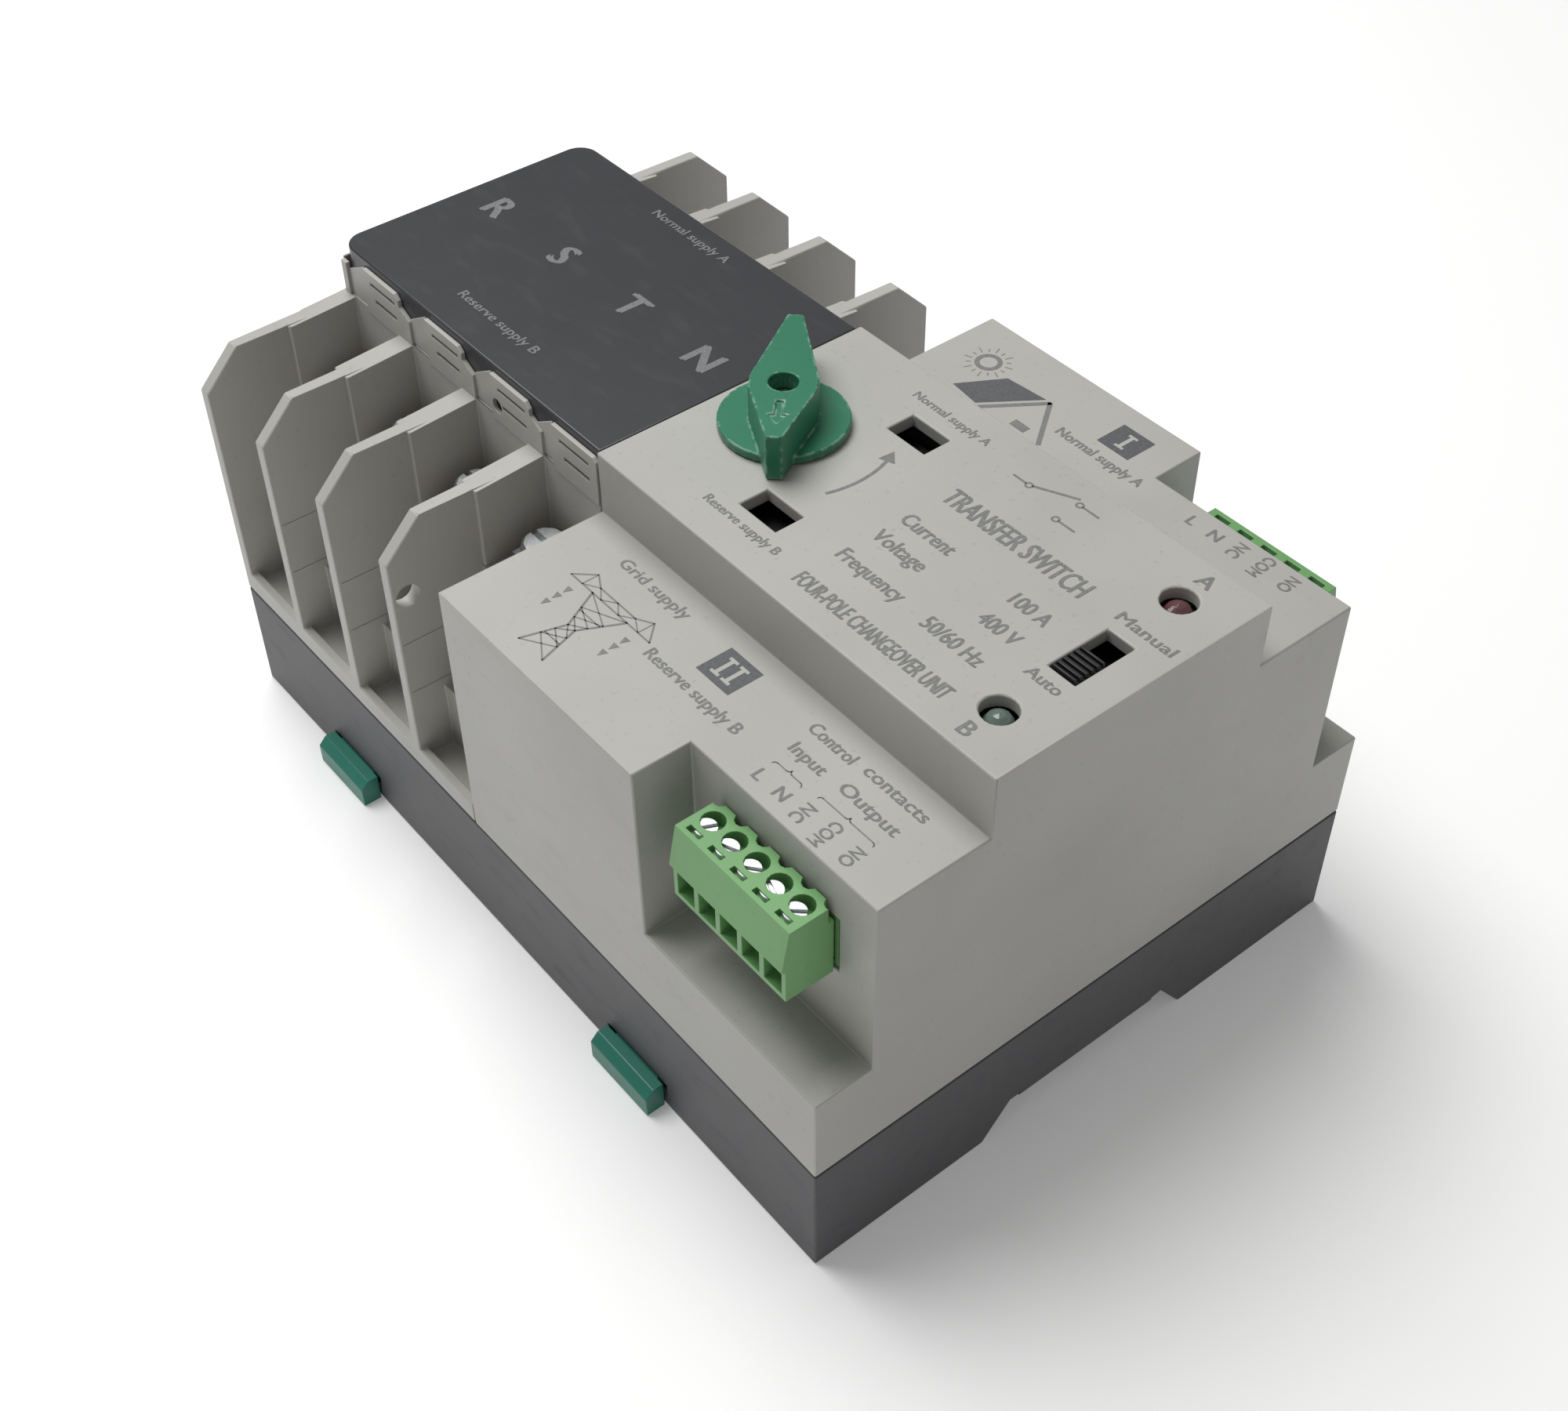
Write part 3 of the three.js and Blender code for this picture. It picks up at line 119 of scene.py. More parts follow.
class Finish:
    """A material in the making, with object coordinates in millimetres."""

    def __init__(self, name, **constants):
        self.material = bpy.data.materials.new(name)
        self.material.use_nodes = True
        self.tree = self.material.node_tree
        self.surface = self.tree.nodes["Principled BSDF"]
        for socket, value in constants.items():
            self.feed(socket.replace("_", " "), value)
        place = self.node("ShaderNodeTexCoord", {}, {}, "Object")
        self.place = self.node("ShaderNodeMapping", {}, {"Vector": place, "Scale": (1 / MM, 1 / MM, 1 / MM)})

    def node(self, kind, settings, values, output=0):
        """A new shader node: settings are its own values, values go to its inputs."""
        node = self.tree.nodes.new(kind)
        for name, value in settings.items():
            if name == "stops":
                ramp = node.color_ramp
                for extra in range(len(value) - 2):
                    ramp.elements.new(0.5)
                for element, (position, shade) in zip(ramp.elements, value):
                    element.position = position
                    element.color = (shade, shade, shade, 1)
            else:
                setattr(node, name, value)
        for name, value in values.items():
            self.plug(node.inputs[name], value)
        return Wire(self, node.outputs[output])

    def plug(self, socket, value):
        if isinstance(value, Wire):
            self.tree.links.new(value.socket, socket)
        else:
            socket.default_value = value

    def feed(self, name, value):
        self.plug(self.surface.inputs[name], value)

    def noise(self, size, detail=2.0, place=None):
        """Noise whose features are about size millimetres across, from 0 to 1."""
        values = {"Vector": place or self.place, "Scale": 1 / size, "Detail": detail}
        return self.node("ShaderNodeTexNoise", {}, values)

    def stretched(self, x, y, z):
        """The coordinates scaled along each axis, for grain that runs one way."""
        return self.node("ShaderNodeMapping", {}, {"Vector": self.place, "Scale": (x, y, z)})

    def ramp(self, value, *stops):
        return self.node("ShaderNodeValToRGB", {"stops": stops}, {"Fac": value})

    def blend(self, share, first, second):
        """First colour to second as share goes from 0 to 1."""
        return self.node("ShaderNodeMix", {"data_type": "RGBA"}, {0: share, 6: first, 7: second}, 2)

    def bump(self, height, strength, distance):
        values = {"Height": height, "Strength": strength, "Distance": distance * MM}
        self.feed("Normal", self.node("ShaderNodeBump", {}, values))

    def edges(self, radius):
        """Above 0 along edges, 0 on flats."""
        soft = self.node("ShaderNodeBevel", {"samples": 4}, {"Radius": radius * MM})
        true = self.node("ShaderNodeNewGeometry", {}, {}, "True Normal")
        same = self.node("ShaderNodeVectorMath", {"operation": "DOT_PRODUCT"}, {0: soft, 1: true}, "Value")
        return 1 - same


def rgb(r, g, b):
    """A colour given as it looks on a screen, 0 to 255, as the linear values that shaders take."""
    linear = [((c / 255 + 0.055) / 1.055) ** 2.4 if c > 10 else c / 255 / 12.92 for c in (r, g, b)]
    return (*linear, 1)


def shade(colour, factor):
    """A darker or lighter colour."""
    return (*[c * factor for c in colour[:3]], 1)


def moulded(name, colour, roughness, edge_highlight=None, **constants):
    """Moulded plastic: fine satin grain, slow tone drift, faint scuffs and, if wanted, a painted highlight
    in pale patches along the edges.
    """
    finish = Finish(name, **constants)
    drift = finish.ramp(finish.noise(38, 3), (0.3, 0), (0.7, 1))
    tone = finish.blend(drift, shade(colour, 0.94), shade(colour, 1.05))
    specks = finish.ramp(finish.noise(1.1, 1), (0.69, 0), (0.73, 1))
    tone = finish.blend(specks * 0.16, tone, shade(colour, 0.45))
    if edge_highlight:
        # pale patches along the rounded edges: a painted highlight
        highlighted_edges = (finish.edges(0.5) * 40 * finish.ramp(finish.noise(1.3, 4), (0.48, 0), (0.62, 1))).clamp()
        tone = finish.blend(highlighted_edges, tone, edge_highlight)
    finish.feed("Base Color", tone)
    scuffs = finish.ramp(finish.noise(3.2, 5, finish.stretched(0.35, 1, 1)), (0.55, 0), (0.8, 1))
    finish.feed("Roughness", roughness + 0.12 * scuffs + 0.05 * finish.noise(9))
    finish.bump(finish.noise(0.25, 2), 0.14, 0.05)
    return finish.material


def plated(name, colour, roughness, brush):
    """Plated or bare metal with a fine directional grain."""
    finish = Finish(name, Metallic=1.0)
    along = finish.noise(0.25, 3, finish.stretched(*brush))
    cloud = finish.noise(4, 3)
    finish.feed("Base Color", finish.blend(cloud, shade(colour, 0.82), shade(colour, 1.08)))
    finish.feed("Roughness", roughness + 0.18 * along + 0.08 * cloud)
    finish.bump(along, 0.12, 0.03)
    return finish.material


def ink(name, colour):
    """Pad-printed legend: slightly uneven coverage."""
    finish = Finish(name)
    cover = finish.ramp(finish.noise(0.5, 3), (0.35, 0), (0.65, 1))
    finish.feed("Base Color", finish.blend(cover, shade(colour, 0.9), shade(colour, 1.2)))
    finish.feed("Roughness", 0.5 + 0.15 * finish.noise(0.6))
    return finish.material


MATERIALS = {
    "housing_plastic": moulded("housing_plastic", rgb(175, 174, 169), 0.42),
    "base_plastic": moulded("base_plastic", rgb(81, 81, 84), 0.5),
    "cover_plastic": moulded("cover_plastic", rgb(47, 48, 52), 0.36, Coat_Weight=0.1),
    # the knob's pale edge colour is a painted highlight
    "knob_plastic": moulded("knob_plastic", rgb(42, 118, 88), 0.34, edge_highlight=rgb(128, 168, 150)),
    "plug_plastic": moulded("plug_plastic", rgb(112, 164, 104), 0.36),
    "clip_plastic": moulded("clip_plastic", rgb(38, 118, 100), 0.34),
    "black_plastic": moulded("black_plastic", rgb(30, 30, 33), 0.35),
    "copper": plated("copper", rgb(184, 115, 80), 0.28, (1, 0.15, 1)),
    "zinc_steel": plated("zinc_steel", rgb(205, 208, 210), 0.2, (0.2, 1, 1)),
    "mechanism_steel": plated("mechanism_steel", rgb(143, 146, 149), 0.35, (0.15, 1, 1)),
    "coil_wire": plated("coil_wire", rgb(138, 74, 34), 0.35, (1, 8, 1)),
    "board_laminate": moulded("board_laminate", rgb(31, 90, 58), 0.3),
    "led_red": moulded("led_red", rgb(126, 84, 86), 0.08, Transmission_Weight=0.45),
    "led_green": moulded("led_green", rgb(128, 148, 138), 0.08, Transmission_Weight=0.45),
    "legend": ink("legend", rgb(118, 118, 117)),
    "dark_legend": ink("dark_legend", rgb(84, 86, 88)),
    "pale_legend": ink("pale_legend", rgb(112, 113, 115)),
}
SLOT_OF = {part["node"]: part["material_slot"] for part in frame["record"]["subparts"]}


# ---- making pieces ----

def piece(name, bm, finish, body, replaces=()):
    """A finished bmesh becomes an object that rides on a body."""
    mesh = bpy.data.meshes.new(name)
    bm.to_mesh(mesh)
    bm.free()
    thing = bpy.data.objects.new(name, mesh)
    bpy.context.scene.collection.objects.link(thing)
    mesh.materials.append(MATERIALS[finish])
    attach(thing, body)
    if replaces:
        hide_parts(*replaces)
    return thing


SHARP = 28  # degrees; edges flatter than this are shaded smoothly and not rounded
ROOM = 3  # with the limit WEIGHT, all the edges at a rounded edge's ends are at least this many radii long
LAST_RIB_HOLE = ((-24.2, -56, 57), 2.3, 4)  # place, radius and length of the drill


def smooth_flats(bm):
    """Smooth shading, broken at edges that are sharper than SHARP degrees."""
    for face in bm.faces:
        face.smooth = True
    for edge in bm.edges:
        edge.smooth = edge.calc_face_angle(0) < radians(SHARP)


def rounded(node, radius, limit="ANGLE", drills=()):
    """A copy of a CAD node with its edges rounded, which stands for that node.

    With the limit WEIGHT, only edges with room are rounded, each by the full radius. With ANGLE, all sharp
    edges are, by as much as the narrowest place lets through. The drills' holes are cut first.
    """
    bm = bmesh.new()
    bm.from_mesh(NODES[node].data)
    for drill in drills:
        bore(bm, *drill)
    bmesh.ops.remove_doubles(bm, verts=bm.verts, dist=0.002 * MM)
    bmesh.ops.dissolve_limit(bm, angle_limit=radians(0.6), verts=bm.verts, edges=bm.edges)
    smooth_flats(bm)
    weight = bm.edges.layers.float.new("bevel_weight_edge")
    for edge in bm.edges:
        shortest = min(other.calc_length() for vert in edge.verts for other in vert.link_edges)
        edge[weight] = 0 if edge.smooth or shortest < ROOM * radius * MM else 1
    if limit == "WEIGHT":
        bmesh.ops.triangulate(bm, faces=[face for face in bm.faces if len(face.verts) > 4])
    thing = piece(node + "_shell", bm, SLOT_OF[node], NODES[node]["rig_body"], [node])
    soften(thing, radius, limit=limit)


def bore(bm, place, radius, length):
    """Cuts a round hole along X, centred on place, out of a bmesh."""
    tool = bmesh.new()
    size = {"radius1": radius * MM, "radius2": radius * MM, "depth": length * MM}
    bmesh.ops.create_cone(tool, cap_ends=True, segments=32, **size)
    place = Matrix.Translation(Vector(place) * MM) @ Matrix.Rotation(pi / 2, 4, "Y")
    bmesh.ops.transform(tool, matrix=place, verts=tool.verts)
    blank = bpy.data.objects.new("blank", bpy.data.meshes.new("blank"))
    cutter = bpy.data.objects.new("cutter", bpy.data.meshes.new("cutter"))
    bm.to_mesh(blank.data)
    tool.to_mesh(cutter.data)
    tool.free()
    cut = blank.modifiers.new("cut", "BOOLEAN")
    cut.object = cutter
    cut.solver = "EXACT"
    for thing in (blank, cutter):
        bpy.context.scene.collection.objects.link(thing)
    cut_blank = blank.evaluated_get(bpy.context.evaluated_depsgraph_get())
    done = bpy.data.meshes.new_from_object(cut_blank)
    bm.clear()
    bm.from_mesh(done)
    for mesh in (blank.data, cutter.data, done):
        bpy.data.meshes.remove(mesh)


def soften(thing, radius, segments=2, limit="ANGLE"):
    """Rounds the edges and keeps the flats between them evenly lit."""
    bevel = thing.modifiers.new("rounding", "BEVEL")
    bevel.width = radius * MM
    bevel.segments = segments
    bevel.limit_method = limit
    bevel.angle_limit = radians(SHARP)
    bevel.use_clamp_overlap = limit == "ANGLE"
    flats = thing.modifiers.new("flat faces", "WEIGHTED_NORMAL")
    flats.keep_sharp = True


# ---- solid details ----

def slab(bm, outline, low, high, axis="y", slots=()):
    """A plate with straight slots through it, from low to high along the axis.

    The outline is drawn in (x, z) for axis y, or in (x, y) for axis z.
    """
    edges = []
    for loop in (outline, *slots):
        corners = [bm.verts.new((x, low, h) if axis == "y" else (x, h, low)) for x, h in loop]
        edges += [bm.edges.new(pair) for pair in zip(corners, corners[1:] + corners[:1])]
    filled = bmesh.ops.triangle_fill(bm, edges=edges, use_beauty=True)
    faces = [part for part in filled["geom"] if isinstance(part, bmesh.types.BMFace)]
    raised = bmesh.ops.extrude_face_region(bm, geom=faces, use_keep_orig=True)["geom"]
    along = (0, high - low, 0) if axis == "y" else (0, 0, high - low)
    bmesh.ops.translate(bm, vec=along, verts=[v for v in raised if isinstance(v, bmesh.types.BMVert)])


def box_outline(left, right, low, high):
    """The corners of a rectangle."""
    return [(left, low), (right, low), (right, high), (left, high)]


def disc_outline(x, y, radius, steps, start=0.0, end=2 * pi):
    """Points round a circle, or along the part of it from start to end."""
    whole = end - start >= 2 * pi
    angles = [start + (end - start) * i / (steps if whole else steps - 1) for i in range(steps)]
    return [(x + radius * cos(a), y + radius * sin(a)) for a in angles]


def solid(name, bm, finish, body, radius, segments=2):
    """Millimetres to metres, faces outwards, edges rounded."""
    bmesh.ops.remove_doubles(bm, verts=bm.verts, dist=0.001)
    bmesh.ops.dissolve_limit(bm, angle_limit=radians(0.5), verts=bm.verts, edges=bm.edges)
    bmesh.ops.scale(bm, vec=(MM, MM, MM), verts=bm.verts)
    bmesh.ops.recalc_face_normals(bm, faces=bm.faces)
    smooth_flats(bm)
    soften(piece(name, bm, finish, body), radius, segments)


# Plates over the bays, before the cover's skirt. Points are distances from the end of the bay, and heights.
SKIRT_GAP = 0.05
PLATE_DEPTH = 0.85
PLATE_WIDTH = 13
PLATE_LEAN = 0.4  # the plate's start is this much further on at its top
PLATE_FOOT = CHEST_TOP - 0.8
PLATE_TOP = 81.6
PLATE_EDGE = ((2.2, 77.8), (-0.9, 79.4), (-0.9, 80.6), (-2, PLATE_TOP))
LAST_PLATE_EDGE = ((0, 80.9), (-0.8, PLATE_TOP))
LAST_PLATE_GAP = 0.35  # to the control unit
PLATE_SLOTS = ((-10.5, 79.0, 79.7), (-9.5, 75.8, 76.6))  # start, low and high
SLOTS_END = -2.2
SMALL_HOLE_AT = ("b", "t")
SMALL_HOLE = (1.8, 75.6, 1.4)  # distance from the plate's start, height and radius
WEB_DEPTH = 0.3
WEB_TOP = PLATE_TOP - 0.1
WEB_SHOULDER = (-0.8, 81.1)  # from the plate's start
WEB_LOW = 78.3
END_STRIP = (0.7, 2.4)  # from the case's end
END_STRIP_TOP = 79.6
END_PLATE = (0.02, 0.5)  # from the case's end
END_PLATE_TOP = 79.8


def chamber_front(side):
    """Light grey plates before the cover's skirt, one over each bay, with the webs between them."""
    sign = SIDES[side]
    near = sign * (COVER_SIDE + SKIRT_GAP)
    plate_face = near + sign * PLATE_DEPTH
    bm = bmesh.new()
    for pole in POLES:
        last = pole == POLES[-1]
        end = JOINT - LAST_PLATE_GAP if last else POLE_X[pole] + POLE_PITCH / 2
        edge = [(end + x, z) for x, z in (LAST_PLATE_EDGE if last else PLATE_EDGE)]
        left = end - PLATE_WIDTH
        plate = [(left, PLATE_FOOT), (edge[0][0], PLATE_FOOT), *edge, (left + PLATE_LEAN, PLATE_TOP)]
        slots = [box_outline(end + start, end + SLOTS_END, low, high) for start, low, high in PLATE_SLOTS]
        if (side, pole) == SMALL_HOLE_AT:
            x, z, radius = SMALL_HOLE
            slots.append(disc_outline(left + x, z, radius, 20))
        slab(bm, plate, near, plate_face, slots=slots)
        web_start = left - (POLE_PITCH - PLATE_WIDTH - PLATE_EDGE[0][0])
        if pole == POLES[0]:
            strip_start, web_start = [LEFT_END + x for x in END_STRIP]
            slab(bm, box_outline(strip_start, web_start, PLATE_FOOT, END_STRIP_TOP), near, plate_face)
        shoulder = (left + WEB_SHOULDER[0], WEB_SHOULDER[1])
        web = [(web_start, PLATE_FOOT), (left, PLATE_FOOT), (left, WEB_TOP), shoulder, (web_start, WEB_LOW)]
        slab(bm, web, near, near + sign * WEB_DEPTH)
    solid("chamber_front_" + side, bm, "housing_plastic", "case", 0.18)


def end_plate():
    """The light grey plate before the skirt's far end."""
    bm = bmesh.new()
    half = COVER_SIDE + SKIRT_GAP
    start, end = [LEFT_END + x for x in END_PLATE]
    slab(bm, box_outline(start, end, PLATE_FOOT, END_PLATE_TOP), -half, half)
    solid("end_plate", bm, "housing_plastic", "case", 0.15)


RIB_HALF = 1.3  # half of a rib's thickness
RIB_LINES = (47.0, 35.9)  # heights
RIB_LINE_START = 0.5  # from the case's side
RIB_LINE_LENGTH = 9.5
RIB_LINE_HALF = 0.15
RIB_LINE_ROOT = 0.2
RIB_LINE_RISE = 0.14


def rib_lines():
    """Fine moulding lines across the outer ends of the ribs."""
    bm = bmesh.new()
    low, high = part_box("pole_housing")
    for pole in POLES[1:]:
        face = POLE_X[pole] - POLE_PITCH / 2 + RIB_HALF
        for outer, inward in ((low.y / MM, 1), (high.y / MM, -1)):
            start = outer + inward * RIB_LINE_START
            for z in RIB_LINES:
                foot, top = z - RIB_LINE_HALF, z + RIB_LINE_HALF
                line = box_outline(face - RIB_LINE_ROOT, face + RIB_LINE_RISE, foot, top)
                slab(bm, line, start, start + inward * RIB_LINE_LENGTH)
    solid("rib_lines", bm, "housing_plastic", "case", 0.05, 1)


BAR_THICKNESS = 2.0
SCREW_HEAD = 2.5
CLAMP_GAP = 0.35  # above the bar
CLAMP_THICKNESS = 1.3
CLAMP_HALF_X = 4.6
CLAMP_HALF_Y = 3.9
CLAMP_HOLE = 2.7
WING_WIDTH = 1.1
WING_HALF_Y = 3.2
WING_DROP = 0.3
WING_ROOT = 0.2  # inside the plate
WASHER_RADIUS = 4.4
WASHER_HOLE = 2.65
WASHER_SPAN = (0.5, 0.05)  # foot and top, below the screw's head


def clamps(rank):
    """Zinc clamping plates between the bars and the screw heads, with turned-down wings and washers."""
    bar = "load_bar_r" if rank == "load" else "source_bar_" + rank + "_r"
    screw = "screw_" + rank + "_r"
    y = middle(screw).y / MM
    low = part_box(bar)[0].z / MM + BAR_THICKNESS + CLAMP_GAP
    washer_foot, washer_top = [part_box(screw)[1].z / MM - SCREW_HEAD - drop for drop in WASHER_SPAN]
    bm = bmesh.new()
    for x in POLE_X.values():
        plate = box_outline(x - CLAMP_HALF_X, x + CLAMP_HALF_X, y - CLAMP_HALF_Y, y + CLAMP_HALF_Y)
        slab(bm, plate, low, low + CLAMP_THICKNESS, "z", [disc_outline(x, y, CLAMP_HOLE, 20)])
        for wing in (-1, 1):
            near, far = sorted((x + wing * (CLAMP_HALF_X - WING_WIDTH), x + wing * CLAMP_HALF_X))
            turned_down = box_outline(near, far, y - WING_HALF_Y, y + WING_HALF_Y)
            slab(bm, turned_down, low - WING_DROP, low + WING_ROOT, "z")
        washer = disc_outline(x, y, WASHER_RADIUS, 32)
        slab(bm, washer, washer_foot, washer_top, "z", [disc_outline(x, y, WASHER_HOLE, 20)])
    solid("clamps_" + rank, bm, "zinc_steel", "case", 0.12)


PLUG_PITCH = 5.08
PLUG_SCREW_Y = 4.9  # from the plug's front lip
PLUG_SCREW_RADIUS = 1.85
PLUG_SCREW_HEIGHT = 1.2
PLUG_SCREW_SINK = 0.35  # below the plug's top
PLUG_SLOT_DEPTH = 0.55
PLUG_SLOT_HALF = 0.28
PLUG_SCREW_OVERLAP = 0.01  # of the two halves of a head into the disc below them
PLUG_SCREW_ANGLES = (64, 22, 38, -18, 47)


def plug_screws(side):
    """The slotted heads of a plug's five screws."""
    low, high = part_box("plug_" + side)
    centre = middle("plug_" + side).x / MM
    outer = max(abs(low.y), abs(high.y)) / MM
    y = SIDES[side] * (outer - PLUG_SCREW_Y)
    top = high.z / MM - PLUG_SCREW_SINK
    slot_foot = top - PLUG_SLOT_DEPTH
    rise = asin(PLUG_SLOT_HALF / PLUG_SCREW_RADIUS)
    bm = bmesh.new()
    for way, angle in enumerate(PLUG_SCREW_ANGLES):
        fresh = bmesh.new()
        slab(fresh, disc_outline(0, 0, PLUG_SCREW_RADIUS, 28), top - PLUG_SCREW_HEIGHT, slot_foot, "z")
        for turn in (0, pi):
            half = disc_outline(0, 0, PLUG_SCREW_RADIUS, 14, turn + rise, turn + pi - rise)
            slab(fresh, half, slot_foot - PLUG_SCREW_OVERLAP, top, "z")
        turned = Matrix.Rotation(radians(angle), 3, "Z")
        bmesh.ops.rotate(fresh, cent=(0, 0, 0), matrix=turned, verts=fresh.verts)
        bmesh.ops.translate(fresh, vec=(centre + (way - 2) * PLUG_PITCH, y, 0), verts=fresh.verts)
        join(bm, fresh)
    solid("plug_screws_" + side, bm, "zinc_steel", NODES["plug_" + side]["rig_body"], 0.08, 1)


def join(bm, fresh):
    """Adds one bmesh to another."""
    mesh = bpy.data.meshes.new("joined")
    fresh.to_mesh(mesh)
    fresh.free()
    bm.from_mesh(mesh)
    bpy.data.meshes.remove(mesh)


# ---- printed legends ----

INK_LIFT = 0.03
CAP_SHARE = 0.7  # height of a capital, in the built-in font
BOLD_WAY = Vector((1, 0.5, 0))  # from the first copy of the letters to the second


class Print:
    """Flat legends on one horizontal surface, gathered into one piece. Lengths are in millimetres."""

    def __init__(self, surface):
        self.bm = bmesh.new()
        self.z = surface + INK_LIFT

    def words(self, text, x, y, cap, length=None, turn=0, weight=0.07):
        """Words with capitals of height cap, centred on (x, y) and stretched to length if it is given.

        The letters are laid down twice, apart by weight as a share of their height, for bolder strokes.
        """
        curve = bpy.data.curves.new("words", "FONT")
        curve.body = text
        curve.size = cap / CAP_SHARE
        curve.resolution_u = 3
        carrier = bpy.data.objects.new("words", curve)
        mesh = bpy.data.meshes.new_from_object(carrier)
        xs = [v.co.x for v in mesh.vertices]
        ys = [v.co.y for v in mesh.vertices]
        stretch = length / (max(xs) - min(xs)) if length else 1
        centred = Matrix.Translation((-(max(xs) + min(xs)) / 2, -(max(ys) + min(ys)) / 2, 0))
        place = Matrix.Translation((x, y, self.z)) @ Matrix.Rotation(radians(turn), 4, "Z")
        mesh.transform(place @ Matrix.Diagonal((stretch, 1, 1, 1)) @ centred)
        apart = BOLD_WAY * weight * cap
        for shift in (-apart / 2, apart + Vector((0, 0, INK_LIFT / 2))):
            mesh.transform(Matrix.Translation(shift))
            self.bm.from_mesh(mesh)
        bpy.data.objects.remove(carrier)
        bpy.data.curves.remove(curve)
        bpy.data.meshes.remove(mesh)

    def area(self, points):
        """A printed face with the points as its corners."""
        self.bm.faces.new([self.bm.verts.new((x, y, self.z)) for x, y in points])

    def stroke(self, width, *points):
        """A line through the points."""
        for (x0, y0), (x1, y1) in zip(points, points[1:]):
            along = Vector((x1 - x0, y1 - y0)).normalized() * width / 2
            across = Vector((-along.y, along.x))
            start, end = Vector((x0, y0)) - along * 0.5, Vector((x1, y1)) + along * 0.5
            self.area([start - across, end - across, end + across, start + across])

    def mirrored_stroke(self, width, centre, *points):
        """A line and its mirror image about x = centre, drawn from offsets to the centre."""
        for side in (1, -1):
            self.stroke(width, *[(centre + side * x, y) for x, y in points])

    def ring(self, x, y, outer, inner, start=0.0, end=2 * pi, steps=36):
        """A ring between two radii, or the part of it from start to end."""
        for i in range(steps):
            a, b = [start + (end - start) * k / steps for k in (i, i + 1)]
            corners = [(outer, a), (outer, b), (inner, b), (inner, a)]
            self.area([(x + r * cos(t), y + r * sin(t)) for r, t in corners])

    def brace(self, x, y, length, height):
        """A curly brace lying down, with its point away from the words under it."""
        r = height / 2
        end = length / 2 - r
        turns = (0, pi / 6, pi / 3, pi / 2)
        for side in (1, -1):
            outer = [(x + side * (end + r * cos(t)), y - r + r * sin(t)) for t in turns]
            inner = [(x + side * (r - r * cos(t)), y + r - r * sin(t)) for t in turns[::-1]]
            self.stroke(0.22, *outer, *inner)

    def numeral_block(self, x, y, width, height, bars):
        """A printed block with upright bars left bare in it, each with serifs."""
        stem, serif, serif_height, margin = 0.8, 2.0, 0.6, 1.25
        pitch = serif + 0.55
        xs = [x + (i - (bars - 1) / 2) * pitch for i in range(bars)]
        left, right = x - width / 2, x + width / 2
        low, high = y - height / 2, y + height / 2
        foot, head = low + margin, high - margin
        rows = [(low, foot, 0), (foot, foot + serif_height, serif),
                (foot + serif_height, head - serif_height, stem),
                (head - serif_height, head, serif), (head, high, 0)]
        for bottom, top, bare in rows:
            cuts = [left, right]
            if bare:
                cuts[1:1] = [c + d * bare / 2 for c in xs for d in (-1, 1)]
            for start, end in zip(cuts[::2], cuts[1::2]):
                self.area(box_outline(start, end, bottom, top))

    def done(self, name, finish, slot):
        """The legends become one piece, with all faces up. The slot is not used."""
        bmesh.ops.scale(self.bm, vec=(MM, MM, MM), verts=self.bm.verts)
        for face in self.bm.faces:
            face.normal_update()
            if face.normal.z < 0:
                face.normal_flip()
        piece(name, self.bm, finish, "case")


def cover_legends():
    """The poles' letters and the two supplies' names."""
    letters = Print(COVER)
    for pole, letter in zip(POLES, "RSTN"):
        letters.words(letter, POLE_X[pole] - 1.4, 1.3, 6.0, weight=0.1)
    letters.words("Normal supply A", -47.3, 22.3, 2.0, 21.6)
    letters.words("Reserve supply B", -46.8, -19.5, 2.0, 23.4)
    letters.done("cover_legend", "pale_legend", "cover_plastic")


ARROW_RADIUS = 18.9
ARROW_HALF = 0.3
ARROW_SPAN = (radians(-19), radians(20))
ARROW_HEAD = ((-1.5, 0), (1.5, 0), (0.1, radians(8.5)))  # outwards from the arc, and on along it
RATINGS = ((-0.3, "Current", "100 A"), (-6.6, "Voltage", "400 V"), (-13.6, "Frequency", "50/60 Hz"))
RATING_CAP = 2.9
NAMES_START, NAME_PITCH = 37.5, 1.55
VALUES_END, VALUE_PITCH = 69, 1.5


def panel_legends():
    """The handle's arrow, the windows' names, the ratings, the lamps and the auto/manual slider."""
    marks = Print(PANEL)
    marks.words("Normal supply A", 23.5, 21.7, 1.8, 17.6)
    marks.words("Reserve supply B", 22.9, -21.0, 1.8, 17.8)
    start, end = ARROW_SPAN
    marks.ring(KNOB_X, 0, ARROW_RADIUS + ARROW_HALF, ARROW_RADIUS - ARROW_HALF, start, end, 14)
    head = [(ARROW_RADIUS + out, end + on) for out, on in ARROW_HEAD]
    marks.area([(KNOB_X + r * cos(t), r * sin(t)) for r, t in head])
    marks.words("TRANSFER SWITCH", 52.6, 8.6, 4.0, 30)
    for y, name, value in RATINGS:
        length = len(name) * NAME_PITCH
        marks.words(name, NAMES_START + length / 2, y, RATING_CAP, length)
        length = len(value) * VALUE_PITCH
        marks.words(value, VALUES_END - length / 2, y, RATING_CAP, length)
    marks.words("FOUR-POLE CHANGEOVER UNIT", 54.2, -21.6, 3.0, 33.2)
    changeover_symbol(marks, 48.5, 19.6)
    marks.words("A", 77.2, 24.0, 3)
    marks.words("B", 77.4, -24.0, 3)
    marks.words("Manual", 79.6, 8.9, 2.2, 11)
    marks.words("Auto", 77.2, -9.2, 2.2, 6.6)
    marks.done("panel_legend", "legend", "housing_plastic")


